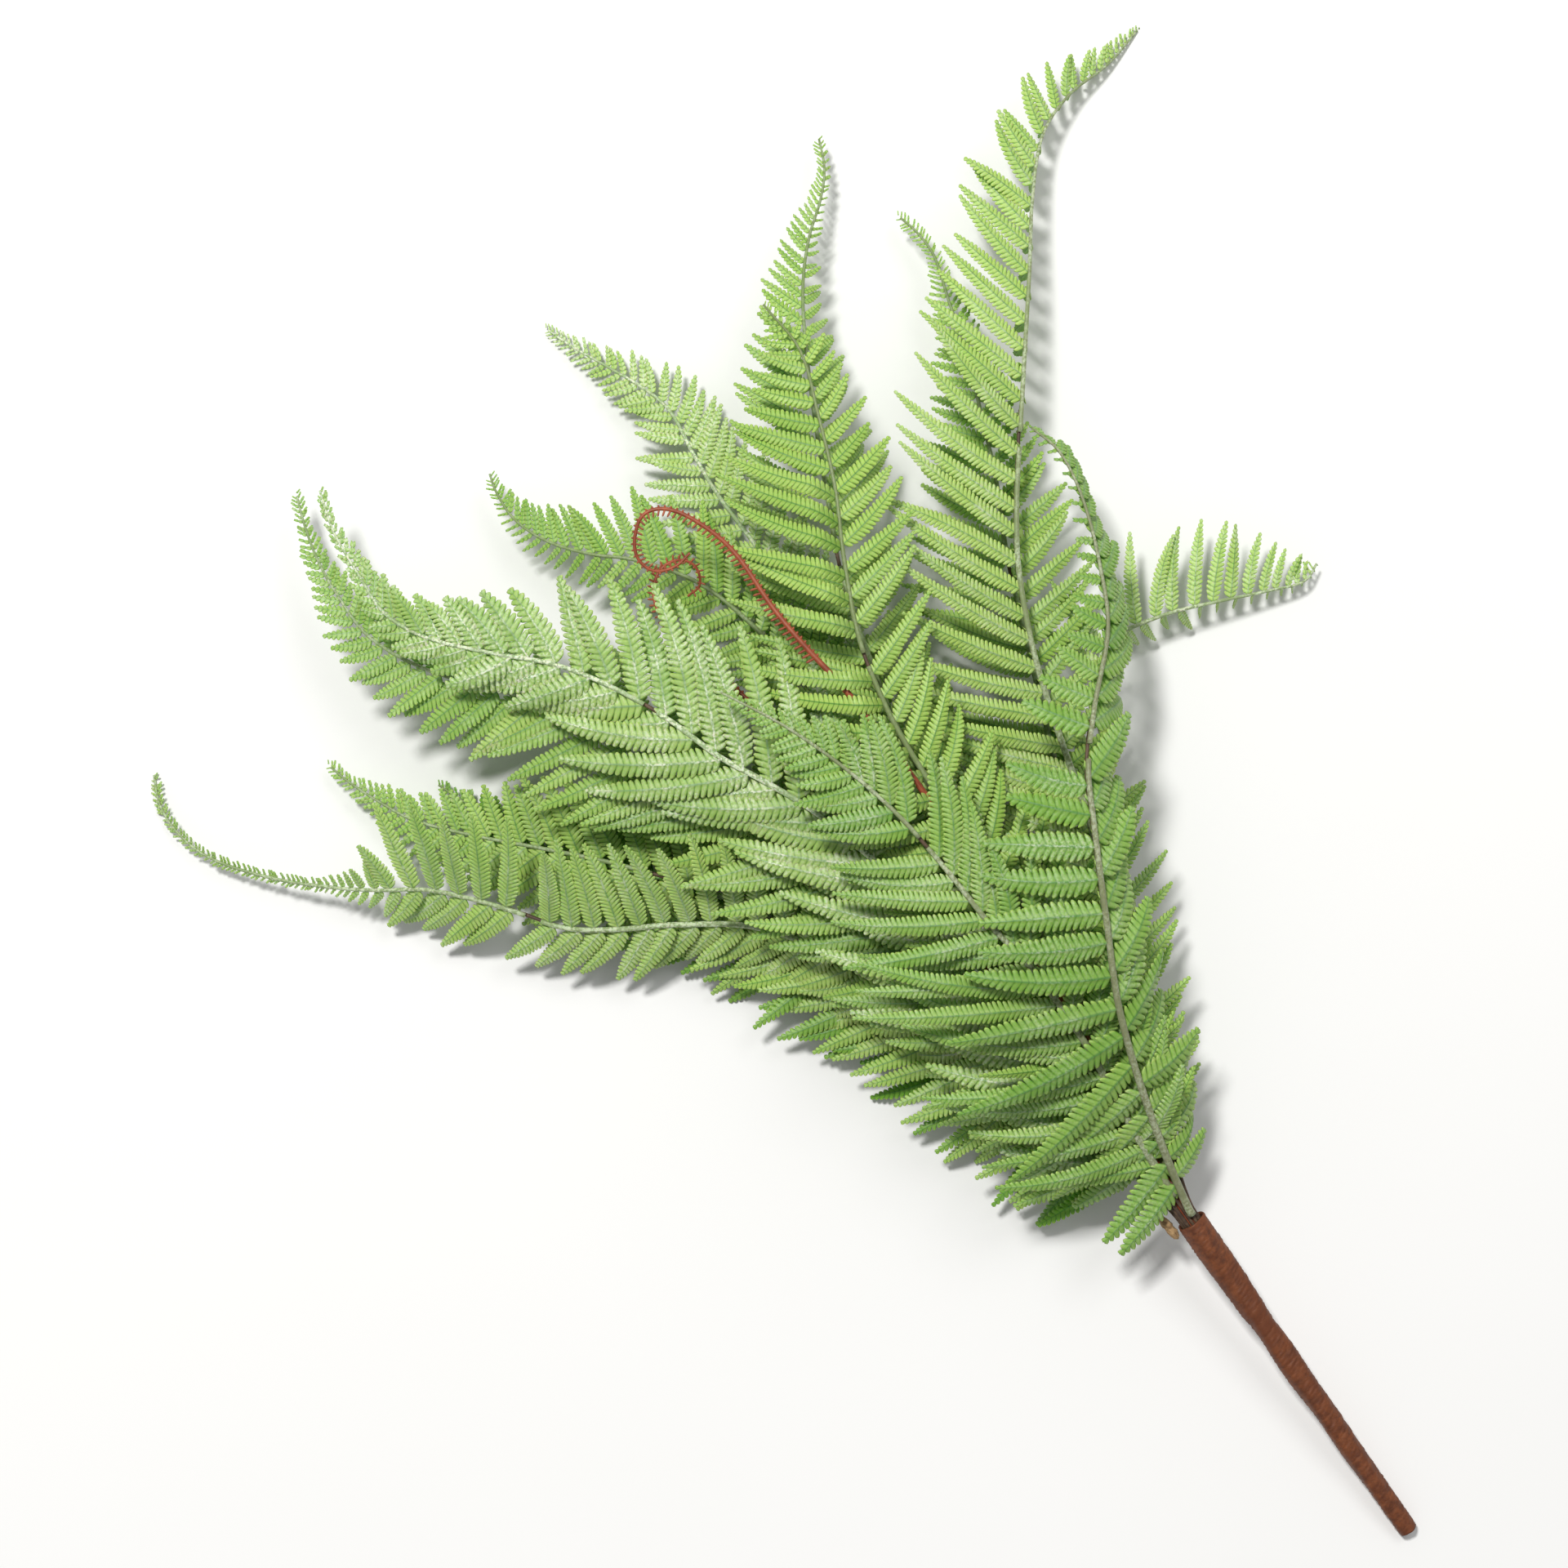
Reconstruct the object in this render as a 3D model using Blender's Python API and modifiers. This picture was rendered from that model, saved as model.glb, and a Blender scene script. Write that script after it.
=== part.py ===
"""Artificial fern spray: a paper-taped stem lying on its side, with moulded fronds fanning out of its mouth.

Metres, +Z up. +Y runs from the cut end of the stem towards the fan, +X to the right of it. The origin is
under the middle of the whole spray, on the surface it lies on. Lengths below are in millimetres.
"""
import math

import bmesh
import bpy
from mathutils import Vector

mm = 0.001

# Taped stem
stem_mouth = Vector((0.0, 0.0, 29.0))
stem_end = Vector((2.0, -142.0, 4.3))
mouth_radius = 5.2
end_radius = 3.4
tape_wall = 0.6
tape_sides = 24
tape_rings = 7

# Wires
wire_radius = 0.7
wire_pitch = 1.7
wire_step = 17.0
wire_past_split = 14.0
bundle_spread = 9.0

# Leaf mouldings, one near the stem and one at the tip of each frond, threaded over the wire
bare_mouth = 12.0
bare_rib = 22.0
section_split = 0.56
section_gap = 4.5
rib_width = 2.6
tip_rib_width = 1.2
rib_thickness = 0.8
rib_lift = 1.85
leaflet_pitch = 18.5
leaflet_thickness = 0.6
leaflet_fill = 0.66
leaflet_forward = 24.0
leaflet_outline = [(0.45, 0.9, 0.0), (1.0, 0.3, 0.08)]
leaflet_tip_reach = 7.0
longest_at = 0.2

# Torn fibre beside the mouth
bud_centre = Vector((-7.8, 2.5, 29.0))
bud_size = Vector((1.9, 5.4, 2.1))
bud_lean = 0.5
bud_pinch = 0.35

# Spacing of the points that routes are cut into
frond_step = 3.0
crozier_step = 8.0
short_wire_step = 6.0
tape_straight = 8.0
mouth_straight = 6.0

# Each frond: its seat in the bundle (columns and rows of a hexagonal pack), how far back its wire runs inside
# the tape, its route from the mouth, its longest leaflets left and right, and how far they lift in degrees.
fronds = [
    dict(
        name="frond_01_arch", seat=(1, 2), depth=28, start=24, reach=(62, 34), lift=(0, -6),
        route=[(10, 48, 58), (20, 82, 75), (33, 110, 84), (47, 138, 87), (58, 158, 85), (73, 175, 79),
               (92, 194, 73), (103, 215, 68), (111, 236, 63), (114, 254, 59), (111, 267, 55)],
    ),
    dict(
        name="frond_02_front", seat=(0, 2), depth=52, start=60, reach=(40, 36), lift=(-3, -3),
        route=[(1, 42, 50), (4, 79, 65), (3, 111, 74), (0, 130, 78), (-2, 156, 80), (-5, 181, 82),
               (-11, 205, 83), (-20, 229, 84), (-32, 252, 82)],
    ),
    dict(
        name="frond_03_centre", seat=(1.5, 1), depth=60, start=60, reach=(44, 34), lift=(-2, -3),
        route=[(6, 43, 43), (11, 85, 57), (13, 130, 64), (11, 163, 67), (11, 191, 69), (13, 214, 70),
               (19, 240, 70), (31, 267, 68), (42, 288, 65), (52, 313, 60), (60, 336, 53), (59, 357, 46)],
    ),
    dict(
        name="frond_04_broad", seat=(-1, 2), depth=30, start=72, reach=(46, 44), lift=(-2, -2),
        route=[(-3, 43, 41), (-6, 76, 49), (-12, 119, 58), (-18, 161, 62), (-28, 198, 64), (-36, 216, 64),
               (-45, 234, 64), (-52, 254, 63), (-62, 275, 61), (-74, 293, 58), (-91, 310, 55),
               (-107, 328, 51), (-114, 343, 48), (-114, 361, 44), (-113, 378, 40), (-109, 393, 37)],
    ),
    dict(
        name="frond_05_rear", seat=(1, 0), depth=138, start=60, reach=(36, 36), lift=(-2, -2),
        route=[(6, 43, 35), (9, 86, 45), (11, 131, 51), (10, 170, 55), (12, 204, 56), (19, 235, 55),
               (28, 264, 52), (40, 291, 48), (53, 318, 42), (67, 344, 35), (77, 359, 29), (88, 371, 23),
               (99, 380, 18), (107, 389, 14), (112, 400, 10)],
    ),
    dict(
        name="frond_06_under_broad", seat=(-1.5, 1), depth=62, start=60, reach=(42, 40), lift=(-2, -2),
        route=[(-6, 40, 34), (-12, 75, 40), (-20, 116, 45), (-29, 154, 48), (-40, 190, 49), (-52, 224, 49),
               (-67, 254, 47), (-83, 282, 44), (-99, 300, 41), (-115, 320, 37), (-125, 341, 32),
               (-126, 360, 29), (-125, 374, 26), (-122, 388, 22), (-118, 400, 19)],
    ),
    dict(
        name="frond_07_long", seat=(2, 0), depth=28, start=60, reach=(40, 30), lift=(0, -4),
        route=[(13, 36, 32), (25, 70, 36), (39, 108, 39), (51, 142, 41), (59, 172, 43), (68, 201, 44),
               (80, 228, 45), (92, 247, 45), (108, 268, 44), (126, 291, 41), (145, 315, 35),
               (162, 337, 28), (179, 354, 20), (196, 361, 13), (215, 363, 5), (233, 368, -0.4)],
    ),
    dict(
        name="frond_08_dark", seat=(0, 0), depth=138, start=60, reach=(36, 34), lift=(-2, -2),
        route=[(0, 48, 29), (-1, 96, 33), (-2, 146, 35), (-3, 197, 36), (-5, 241, 36), (-10, 271, 35),
               (-17, 291, 33), (-30, 309, 30), (-43, 321, 27), (-53, 334, 22), (-58, 347, 18),
               (-58, 359, 15), (-56, 367, 13)],
    ),
    dict(
        name="frond_09_right_rear", seat=(1.5, -1), depth=58, start=60, reach=(34, 32), lift=(-2, -2),
        route=[(12, 36, 26), (22, 72, 27), (34, 111, 29), (46, 145, 30), (59, 179, 31), (70, 207, 31),
               (81, 235, 31), (93, 259, 29), (102, 281, 27), (111, 304, 23), (117, 324, 19),
               (122, 340, 15), (122, 351, 12), (120, 360, 9)],
    ),
    dict(
        name="frond_10_low_left", seat=(-2, 0), depth=26, start=60, reach=(34, 36), lift=(-3, -1),
        route=[(-10, 35, 28), (-24, 68, 27), (-36, 108, 27), (-49, 146, 28), (-68, 175, 28), (-92, 193, 28),
               (-111, 204, 28), (-126, 215, 28), (-139, 232, 27), (-149, 244, 26), (-160, 255, 24),
               (-175, 265, 21), (-189, 276, 17), (-205, 291, 12), (-219, 309, 8), (-224, 323, 5),
               (-224, 336, 2), (-220, 346, -0.4)],
    ),
    dict(
        name="frond_11_pale", seat=(0, -2), depth=50, start=60, reach=(32, 32), lift=(-2, -2),
        route=[(3, 49, 24), (5, 94, 23), (7, 143, 23), (8, 192, 23), (8, 239, 23), (9, 282, 22),
               (8, 312, 20), (9, 329, 18), (11, 348, 14), (8, 360, 11), (1, 376, 7), (-5, 389, 4),
               (-9, 400, 1.5)],
    ),
    dict(
        name="frond_12_left_under", seat=(-1.5, -1), depth=56, start=60, reach=(34, 30), lift=(-2, -2),
        route=[(-11, 37, 22), (-23, 74, 20), (-38, 120, 19), (-54, 160, 20), (-74, 193, 20), (-97, 222, 19),
               (-118, 244, 17), (-135, 261, 15), (-150, 278, 12), (-156, 289, 10), (-162, 303, 8),
               (-165, 313, 6)],
    ),
    dict(
        name="frond_13_side", seat=(1, -2), depth=27, start=60, reach=(34, 28), lift=(0, -3),
        route=[(15, 34, 20), (28, 67, 18), (44, 103, 18), (60, 136, 19), (73, 162, 20), (84, 180, 20),
               (94, 189, 20), (104, 188, 20), (120, 184, 19), (138, 177, 16), (155, 170, 12),
               (167, 166, 9), (175, 169, 7)],
    ),
    dict(
        name="frond_14_lowest", seat=(-1, -2), depth=24, start=60, reach=(30, 28), lift=(-1, -1),
        route=[(-9, 37, 17), (-22, 75, 14), (-39, 123, 13), (-57, 165, 12), (-76, 200, 11), (-95, 226, 10),
               (-112, 243, 8), (-124, 258, 7), (-131, 272, 5), (-136, 284, 4)],
    ),
]

croziers = [
    dict(
        name="crozier_01", seat=(0.5, 1), depth=138,
        route=[(2, 39, 46), (6, 85, 60), (7, 134, 70), (7, 180, 75), (5, 223, 77), (1, 253, 77),
               (0, 267, 76), (0, 288, 75), (-3, 301, 75), (-10, 314, 75), (-18, 318, 75), (-25, 314, 74),
               (-29, 307, 73), (-27, 300, 72), (-20, 297, 71), (-13, 298, 70)],
    ),
    dict(
        name="crozier_02", seat=(-0.5, 1), depth=138,
        route=[(-4, 38, 38), (-7, 78, 46), (-10, 125, 54), (-14, 172, 59), (-19, 216, 60), (-24, 239, 59),
               (-27, 252, 58), (-29, 264, 57), (-33, 279, 56), (-33, 291, 55), (-27, 299, 54),
               (-19, 300, 53), (-14, 295, 52), (-16, 288, 51), (-22, 287, 50)],
    ),
]

short_wires = [
    dict(name="cut_sub_stem", seat=(-1, 0), depth=138, radius=0.6,
         route=[(-2.1, 10, 30.4), (-2.8, 14, 30.5)]),
    dict(name="tape_fibre", seat=(-0.5, -1), depth=30, radius=0.3,
         route=[(-1.6, 10, 28.0), (-4.0, 20, 29.6), (-8.5, 28, 31.0)]),
]


def clear_scene():
    for obj in list(bpy.data.objects):
        bpy.data.objects.remove(obj, do_unlink=True)
    for group in list(bpy.data.collections):
        bpy.data.collections.remove(group)


def principled(name, colour, roughness):
    material = bpy.data.materials.new(name)
    material.use_nodes = True
    shader = material.node_tree.nodes["Principled BSDF"]
    shader.inputs["Base Color"].default_value = (*colour, 1.0)
    shader.inputs["Roughness"].default_value = roughness
    material.diffuse_color = (*colour, 1.0)
    return material


def smooth_route(points, step):
    """Evenly spaced points of a rounded curve through the given ones."""
    knots = [Vector(p) for p in points]
    knots = [2 * knots[0] - knots[1]] + knots + [2 * knots[-1] - knots[-2]]
    fine = []
    for before, start, end, after in zip(knots, knots[1:], knots[2:], knots[3:]):
        chord = (end - start).length
        leave = (end - before).normalized() * chord
        arrive = (after - start).normalized() * chord
        pieces = max(2, round(chord / 1.5))
        for i in range(pieces):
            t = i / pieces
            bend = start * (1 - 3 * t * t + 2 * t ** 3) + end * (3 * t * t - 2 * t ** 3)
            fine.append(bend + leave * (t - 2 * t * t + t ** 3) + arrive * (t ** 3 - t * t))
    fine.append(knots[-2])
    run = [0.0]
    for a, b in zip(fine, fine[1:]):
        run.append(run[-1] + (b - a).length)
    count = max(2, round(run[-1] / step))
    evenly, j = [], 0
    for i in range(count + 1):
        at = run[-1] * i / count
        while j < len(run) - 2 and run[j + 1] < at:
            j += 1
        span = run[j + 1] - run[j]
        evenly.append(fine[j].lerp(fine[j + 1], (at - run[j]) / span if span else 0.0))
    return evenly


stem_axis = (stem_mouth - stem_end).normalized()
stem_side = stem_axis.cross(Vector((0, 0, 1))).normalized()
stem_up = stem_side.cross(stem_axis)


def seat_offset(seat):
    """Place of a wire across the stem: columns one pitch apart, rows closed up as in a hexagonal pack."""
    column, layer = seat
    return stem_side * column * wire_pitch + stem_up * layer * wire_pitch * math.sqrt(3) / 2


def wire_points(piece):
    """Straight inside the tape, then opening out gently to the route."""
    offset = seat_offset(piece["seat"])
    inside = stem_mouth + offset - stem_axis * piece["depth"]
    leaving = stem_mouth + offset * 1.06
    through = [inside, leaving - stem_axis * tape_straight, leaving + stem_axis * mouth_straight]
    return through + [Vector(p) for p in piece["route"]]


def tube(name, points, radius, material, group, sides=1):
    """A round bar through the points, ends closed."""
    curve = bpy.data.curves.new(name, "CURVE")
    curve.dimensions = "3D"
    curve.bevel_depth = radius * mm
    curve.bevel_resolution = sides
    curve.use_fill_caps = True
    spline = curve.splines.new("POLY")
    spline.points.add(len(points) - 1)
    for knot, p in zip(spline.points, points):
        knot.co = (*(Vector(p) * mm), 1.0)
    obj = bpy.data.objects.new(name, curve)
    curve.materials.append(material)
    group.objects.link(obj)
    return obj


def frames_along(points):
    """Point, forward, right and up at each point of a route."""
    frames = []
    for i, p in enumerate(points):
        forward = (points[min(i + 1, len(points) - 1)] - points[max(i - 1, 0)]).normalized()
        right = forward.cross(Vector((0, 0, 1))).normalized()
        frames.append((p, forward, right, right.cross(forward)))
    return frames


def leaflet_reach(along, longest):
    """Length of a leaflet at this share of the frond, short at both ends and longest near the stem."""
    if along < longest_at:
        return longest * (0.72 + 0.28 * along / longest_at)
    rest = (1 - along) / (1 - longest_at)
    return leaflet_tip_reach + (longest - leaflet_tip_reach) * rest ** 0.85


def extruded(mesh, face, start, finish):
    """Extrudes one face, moving the corner at each start point to the finish point of the same place."""
    copy = bmesh.ops.extrude_discrete_faces(mesh, faces=[face])["faces"][0]
    ends = [min(range(4), key=lambda k: (start[k] - vert.co).length) for vert in copy.verts]
    for vert, k in zip(copy.verts, ends):
        vert.co = finish[k]
    return copy


def side_face(end, a, b):
    """The wall behind an end face that meets it between two points."""
    corners = {min(end.verts, key=lambda v: (v.co - p).length) for p in (a, b)}
    edge = next(e for e in end.edges if set(e.verts) == corners)
    return next(f for f in edge.link_faces if f != end)


def grow_leaflet(mesh, wall, frame, side, root, reach, lift):
    """Extrudes a leaflet from a side wall of the rib: it leans forward, widens a little, then tapers."""
    _, forward, right, up = frame
    start = [v.co.copy() for v in wall.verts]
    middle = sum(start, Vector()) / 4
    lean = math.radians(leaflet_forward)
    rise = math.radians(lift)
    out = right * side
    flat = (out * math.cos(lean) + forward * math.sin(lean)) * math.cos(rise) + up * math.sin(rise)
    across = up.cross(flat).normalized() * side
    for along, width, curve in leaflet_outline:
        centre = middle + flat * reach * along + forward * reach * curve
        finish = []
        for corner in start:
            ahead = 1 if (corner - middle).dot(forward) > 0 else -1
            above = 1 if (corner - middle).dot(up) > 0 else -1
            finish.append(centre + across * ahead * root * width / 2 + up * above * leaflet_thickness / 2)
        wall = extruded(mesh, wall, start, finish)
        start = finish


def leaf_section(name, frames, span, piece, material, group):
    """One moulding: a flat rib along the frond with a leaflet extruded from each side at every pitch."""
    first, last, whole = span
    pairs = max(3, round((last - first) / leaflet_pitch))
    pitch = (last - first) / pairs

    def frame_at(run):
        at = min(max(run / whole, 0.0), 1.0) * (len(frames) - 1)
        i = min(int(at), len(frames) - 2)
        return [a.lerp(b, at - i) for a, b in zip(frames[i], frames[i + 1])]

    def rib_corners(run):
        p, _, right, up = frame_at(run)
        width = rib_width + (tip_rib_width - rib_width) * min(run / whole, 1.0)
        middle = p + up * rib_lift
        return [middle + right * x * width / 2 + up * z * rib_thickness / 2
                for x, z in ((-1, -1), (1, -1), (1, 1), (-1, 1))]

    mesh = bmesh.new()
    before = rib_corners(max(first - bare_rib, bare_mouth) if first == piece["start"] else first)
    end = mesh.faces.new([mesh.verts.new(c) for c in before])
    root_verts = list(end.verts)
    leaflets = []
    for i in range(pairs):
        middle = first + pitch * (i + 0.5)
        for run in (middle - pitch * leaflet_fill / 2, middle + pitch * leaflet_fill / 2):
            after = rib_corners(run)
            end = extruded(mesh, end, before, after)
            before = after
        along = (middle - piece["start"]) / (whole - piece["start"])
        for side, (a, b) in ((-1, (0, 3)), (1, (1, 2))):
            wall = side_face(end, after[a], after[b])
            reach = leaflet_reach(along, piece["reach"][side > 0])
            lift = piece["lift"][side > 0]
            leaflets.append((wall, frame_at(middle), side, pitch * leaflet_fill, reach, lift))
    end = extruded(mesh, end, before, rib_corners(last))
    mesh.faces.new(list(reversed(root_verts)))
    for leaflet in leaflets:
        grow_leaflet(mesh, *leaflet)
    bmesh.ops.recalc_face_normals(mesh, faces=mesh.faces)
    for vert in mesh.verts:
        vert.co *= mm
    data = bpy.data.meshes.new(name)
    mesh.to_mesh(data)
    mesh.free()
    for face in data.polygons:
        face.use_smooth = True
    data.materials.append(material)
    obj = bpy.data.objects.new(name, data)
    group.objects.link(obj)
    return obj


def ring_edges(mesh, ring):
    edges = []
    for a, b in zip(ring, ring[1:] + ring[:1]):
        edges.append(mesh.edges.get((a, b)) or mesh.edges.new((a, b)))
    return edges


def tape_wrap(name, material, group):
    """The wound paper tape: a tapering sleeve, open at both ends."""
    mesh = bmesh.new()
    ring = []
    for i in range(tape_rings):
        t = i / (tape_rings - 1)
        centre = stem_end.lerp(stem_mouth, t)
        radius = end_radius + (mouth_radius - end_radius) * t - tape_wall
        last = ring
        ring = []
        for k in range(tape_sides):
            turn = 2 * math.pi * k / tape_sides
            outward = stem_side * math.cos(turn) + stem_up * math.sin(turn)
            ring.append(mesh.verts.new((centre + outward * radius) * mm))
        if last:
            bmesh.ops.bridge_loops(mesh, edges=ring_edges(mesh, last) + ring_edges(mesh, ring))
    bmesh.ops.recalc_face_normals(mesh, faces=mesh.faces)
    data = bpy.data.meshes.new(name)
    mesh.to_mesh(data)
    mesh.free()
    data.materials.append(material)
    for face in data.polygons:
        face.use_smooth = True
    obj = bpy.data.objects.new(name, data)
    group.objects.link(obj)
    wall = obj.modifiers.new("tape thickness", "SOLIDIFY")
    wall.thickness = tape_wall * mm
    wall.offset = 1.0
    wall.use_even_offset = True
    return obj


def bud(name, material, group):
    """A small torn spindle of fibre beside the mouth."""
    mesh = bmesh.new()
    bmesh.ops.create_icosphere(mesh, subdivisions=2, radius=1.0)
    for vert in mesh.verts:
        x, y, z = vert.co
        pinch = 1.0 - bud_pinch * max(y, 0.0)
        across = x * bud_size.x * pinch - bud_lean * y
        vert.co = (bud_centre + Vector((across, y * bud_size.y, z * bud_size.z * pinch))) * mm
    data = bpy.data.meshes.new(name)
    mesh.to_mesh(data)
    mesh.free()
    data.materials.append(material)
    for face in data.polygons:
        face.use_smooth = True
    obj = bpy.data.objects.new(name, data)
    group.objects.link(obj)
    return obj


def settle(group):
    """Puts the origin on the surface, under the middle of the spray."""
    bpy.context.view_layer.update()
    graph = bpy.context.evaluated_depsgraph_get()
    low, high = Vector((1e9,) * 3), Vector((-1e9,) * 3)
    for obj in group.objects:
        evaluated = obj.evaluated_get(graph)
        for vert in evaluated.to_mesh().vertices:
            low = Vector(map(min, low, vert.co))
            high = Vector(map(max, high, vert.co))
        evaluated.to_mesh_clear()
    base = bpy.data.objects.new("spray_origin", None)
    group.objects.link(base)
    for obj in group.objects:
        if obj != base:
            obj.parent = base
    base.location = (-(low.x + high.x) / 2, -(low.y + high.y) / 2, -low.z)
    bpy.context.view_layer.update()


clear_scene()
spray = bpy.data.collections.new("artificial_fern_spray")
bpy.context.scene.collection.children.link(spray)
leaf_green = principled("moulded_leaf_plastic", (0.07, 0.22, 0.06), 0.45)
young_red = principled("young_frond_plastic", (0.38, 0.10, 0.06), 0.5)
wire_brown = principled("coated_wire", (0.10, 0.05, 0.03), 0.55)
paper_tape = principled("wound_paper_tape", (0.30, 0.13, 0.08), 0.85)
tan_fibre = principled("torn_fibre", (0.52, 0.36, 0.17), 0.9)

tape_wrap("stem_tape", paper_tape, spray)
for piece in fronds:
    points = smooth_route(wire_points(piece), frond_step)
    mouth = round(piece["depth"] / frond_step)
    outer = frames_along(points)[mouth:]
    length = frond_step * (len(outer) - 1)
    split = piece["start"] + (length - piece["start"]) * section_split
    wire_end = mouth + round((split + wire_past_split) / frond_step)
    stride = round(wire_step / frond_step)
    first = mouth + 2
    marks = [0, mouth - 1] + list(range(first, wire_end - stride // 2, stride)) + [wire_end]
    tube(piece["name"] + "_wire", [points[i] for i in marks], wire_radius, wire_brown, spray)
    lower, upper = (piece["start"], split, length), (split + section_gap, length, length)
    leaf_section(piece["name"] + "_leaf", outer, lower, piece, leaf_green, spray)
    leaf_section(piece["name"] + "_tip", outer, upper, piece, leaf_green, spray)
for piece in croziers:
    tube(piece["name"], smooth_route(wire_points(piece), crozier_step), wire_radius, young_red, spray)
for piece in short_wires:
    points = smooth_route(wire_points(piece), short_wire_step)
    tube(piece["name"], points, piece["radius"], wire_brown, spray)
bud("torn_bud", tan_fibre, spray)


settle(spray)
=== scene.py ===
import math

import bmesh
import bpy
import numpy as np
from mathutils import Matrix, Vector


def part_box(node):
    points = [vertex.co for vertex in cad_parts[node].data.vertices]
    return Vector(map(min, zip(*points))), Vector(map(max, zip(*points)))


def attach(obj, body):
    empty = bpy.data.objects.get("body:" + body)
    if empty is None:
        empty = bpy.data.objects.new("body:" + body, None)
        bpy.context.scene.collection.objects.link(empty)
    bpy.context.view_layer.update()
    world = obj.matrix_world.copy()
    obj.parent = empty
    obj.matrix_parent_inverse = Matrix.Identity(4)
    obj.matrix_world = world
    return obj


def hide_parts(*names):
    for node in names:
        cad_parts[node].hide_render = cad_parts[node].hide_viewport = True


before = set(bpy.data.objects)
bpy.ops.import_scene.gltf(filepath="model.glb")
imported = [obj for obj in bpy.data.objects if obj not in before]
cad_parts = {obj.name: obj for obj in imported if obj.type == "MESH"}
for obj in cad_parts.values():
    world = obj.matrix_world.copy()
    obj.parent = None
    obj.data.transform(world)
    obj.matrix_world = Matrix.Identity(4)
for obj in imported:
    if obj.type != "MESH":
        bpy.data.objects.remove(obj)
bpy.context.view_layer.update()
scene = bpy.context.scene
millimetre = 0.001
draw = np.random.default_rng(2041)

# The routes below are in millimetres from the mouth of the taped stem.
# The tape's own corner in the frame says where that mouth is.
tapeCorner = np.array((-5.2045, -142.5909, 0.9439))
mouth = np.array(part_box("stem_tape")[0]) / millimetre - tapeCorner

stem = {
    "mouth": np.array((0.0, 0.0, 29.0)),
    "end": np.array((2.0, -142.0, 4.3)),
    "mouthRadius": 5.2,
    "endRadius": 3.4,
    "wirePitch": 1.7,
    "spread": 1.06,
    "straight": (8, 6),  # wires run straight for this far before and after the mouth
}
stemAxis = stem["mouth"] - stem["end"]
stemAxis /= np.linalg.norm(stemAxis)
stemSide = np.cross(stemAxis, (0, 0, 1))
stemSide /= np.linalg.norm(stemSide)
stemUp = np.cross(stemSide, stemAxis)
routeStep = 1.0


def between(low, high, share):
    return low + (high - low) * share


def unit(v):
    return v / np.maximum(np.linalg.norm(v, axis=-1, keepdims=True), 1e-9)


def smoothRoute(points, step):
    # a curve through the points, cut into even steps
    knots = [np.array(p, float) for p in points]
    knots = [2 * knots[0] - knots[1]] + knots + [2 * knots[-1] - knots[-2]]
    fine = []
    for before, start, end, after in zip(knots, knots[1:], knots[2:], knots[3:]):
        chord = np.linalg.norm(end - start)
        leave = unit(end - before) * chord
        arrive = unit(after - start) * chord
        t = np.linspace(0, 1, max(3, round(chord / step)), endpoint=False)[:, None]
        bend = start * (1 - 3 * t**2 + 2 * t**3) + end * (3 * t**2 - 2 * t**3)
        fine.append(bend + leave * (t - 2 * t**2 + t**3) + arrive * (t**3 - t**2))
    fine = np.vstack(fine + [knots[-2][None]])
    run = np.concatenate([[0], np.cumsum(np.linalg.norm(np.diff(fine, axis=0), axis=1))])
    at = np.linspace(0, run[-1], max(2, round(run[-1] / step)) + 1)
    return np.stack([np.interp(at, run, fine[:, k]) for k in range(3)], axis=1), run[-1]


def wireRoute(piece):
    # wires sit in the stem in staggered rows, and spread a little where they leave it
    column, layer = piece["seat"]
    offset = stemSide * column * stem["wirePitch"]
    offset = offset + stemUp * layer * stem["wirePitch"] * math.sqrt(3) / 2
    leaving = stem["mouth"] + offset * stem["spread"]
    inside = stem["mouth"] + offset - stemAxis * piece["depth"]
    before, after = stem["straight"]
    return [inside, leaving - stemAxis * before, leaving + stemAxis * after] + piece["route"]


class Way:
    # a route with its direction, right side and upper side; runs along it start at the mouth
    def __init__(self, piece, roll=(0, 0)):
        self.points, self.length = smoothRoute(wireRoute(piece), routeStep)
        self.start = piece["depth"]
        self.ahead = unit(np.gradient(self.points, axis=0))
        right = unit(np.cross(self.ahead, (0, 0, 1)))
        up = np.cross(right, self.ahead)
        turn = np.radians(np.linspace(roll[0], roll[1], len(right)))[:, None]
        self.right = right * np.cos(turn) - up * np.sin(turn)
        self.up = up * np.cos(turn) + right * np.sin(turn)
        self.runs = np.linspace(0, self.length, len(self.points)) - self.start

    def at(self, run, what):
        run = np.asarray(run, float)
        return np.stack([np.interp(run, self.runs, what[:, k]) for k in range(3)], axis=-1)


# Rows across a lobe: share of its length, half its width, height of the leaflet's middle rib there
lobeRows = np.array(((0.0, 0.5, 0.62), (0.13, 0.5, 0.10), (0.32, 0.5, 0.0), (0.63, 0.455, 0.0),
                     (0.88, 0.35, 0.0), (1.0, 0.13, 0.0)))
lobeColumns = np.array((-1.0, -0.38, 0.38, 1.0))
joinedRows = 3  # lobes are joined to their neighbours in the first rows, and free beyond them
outlineCache = {}


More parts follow.
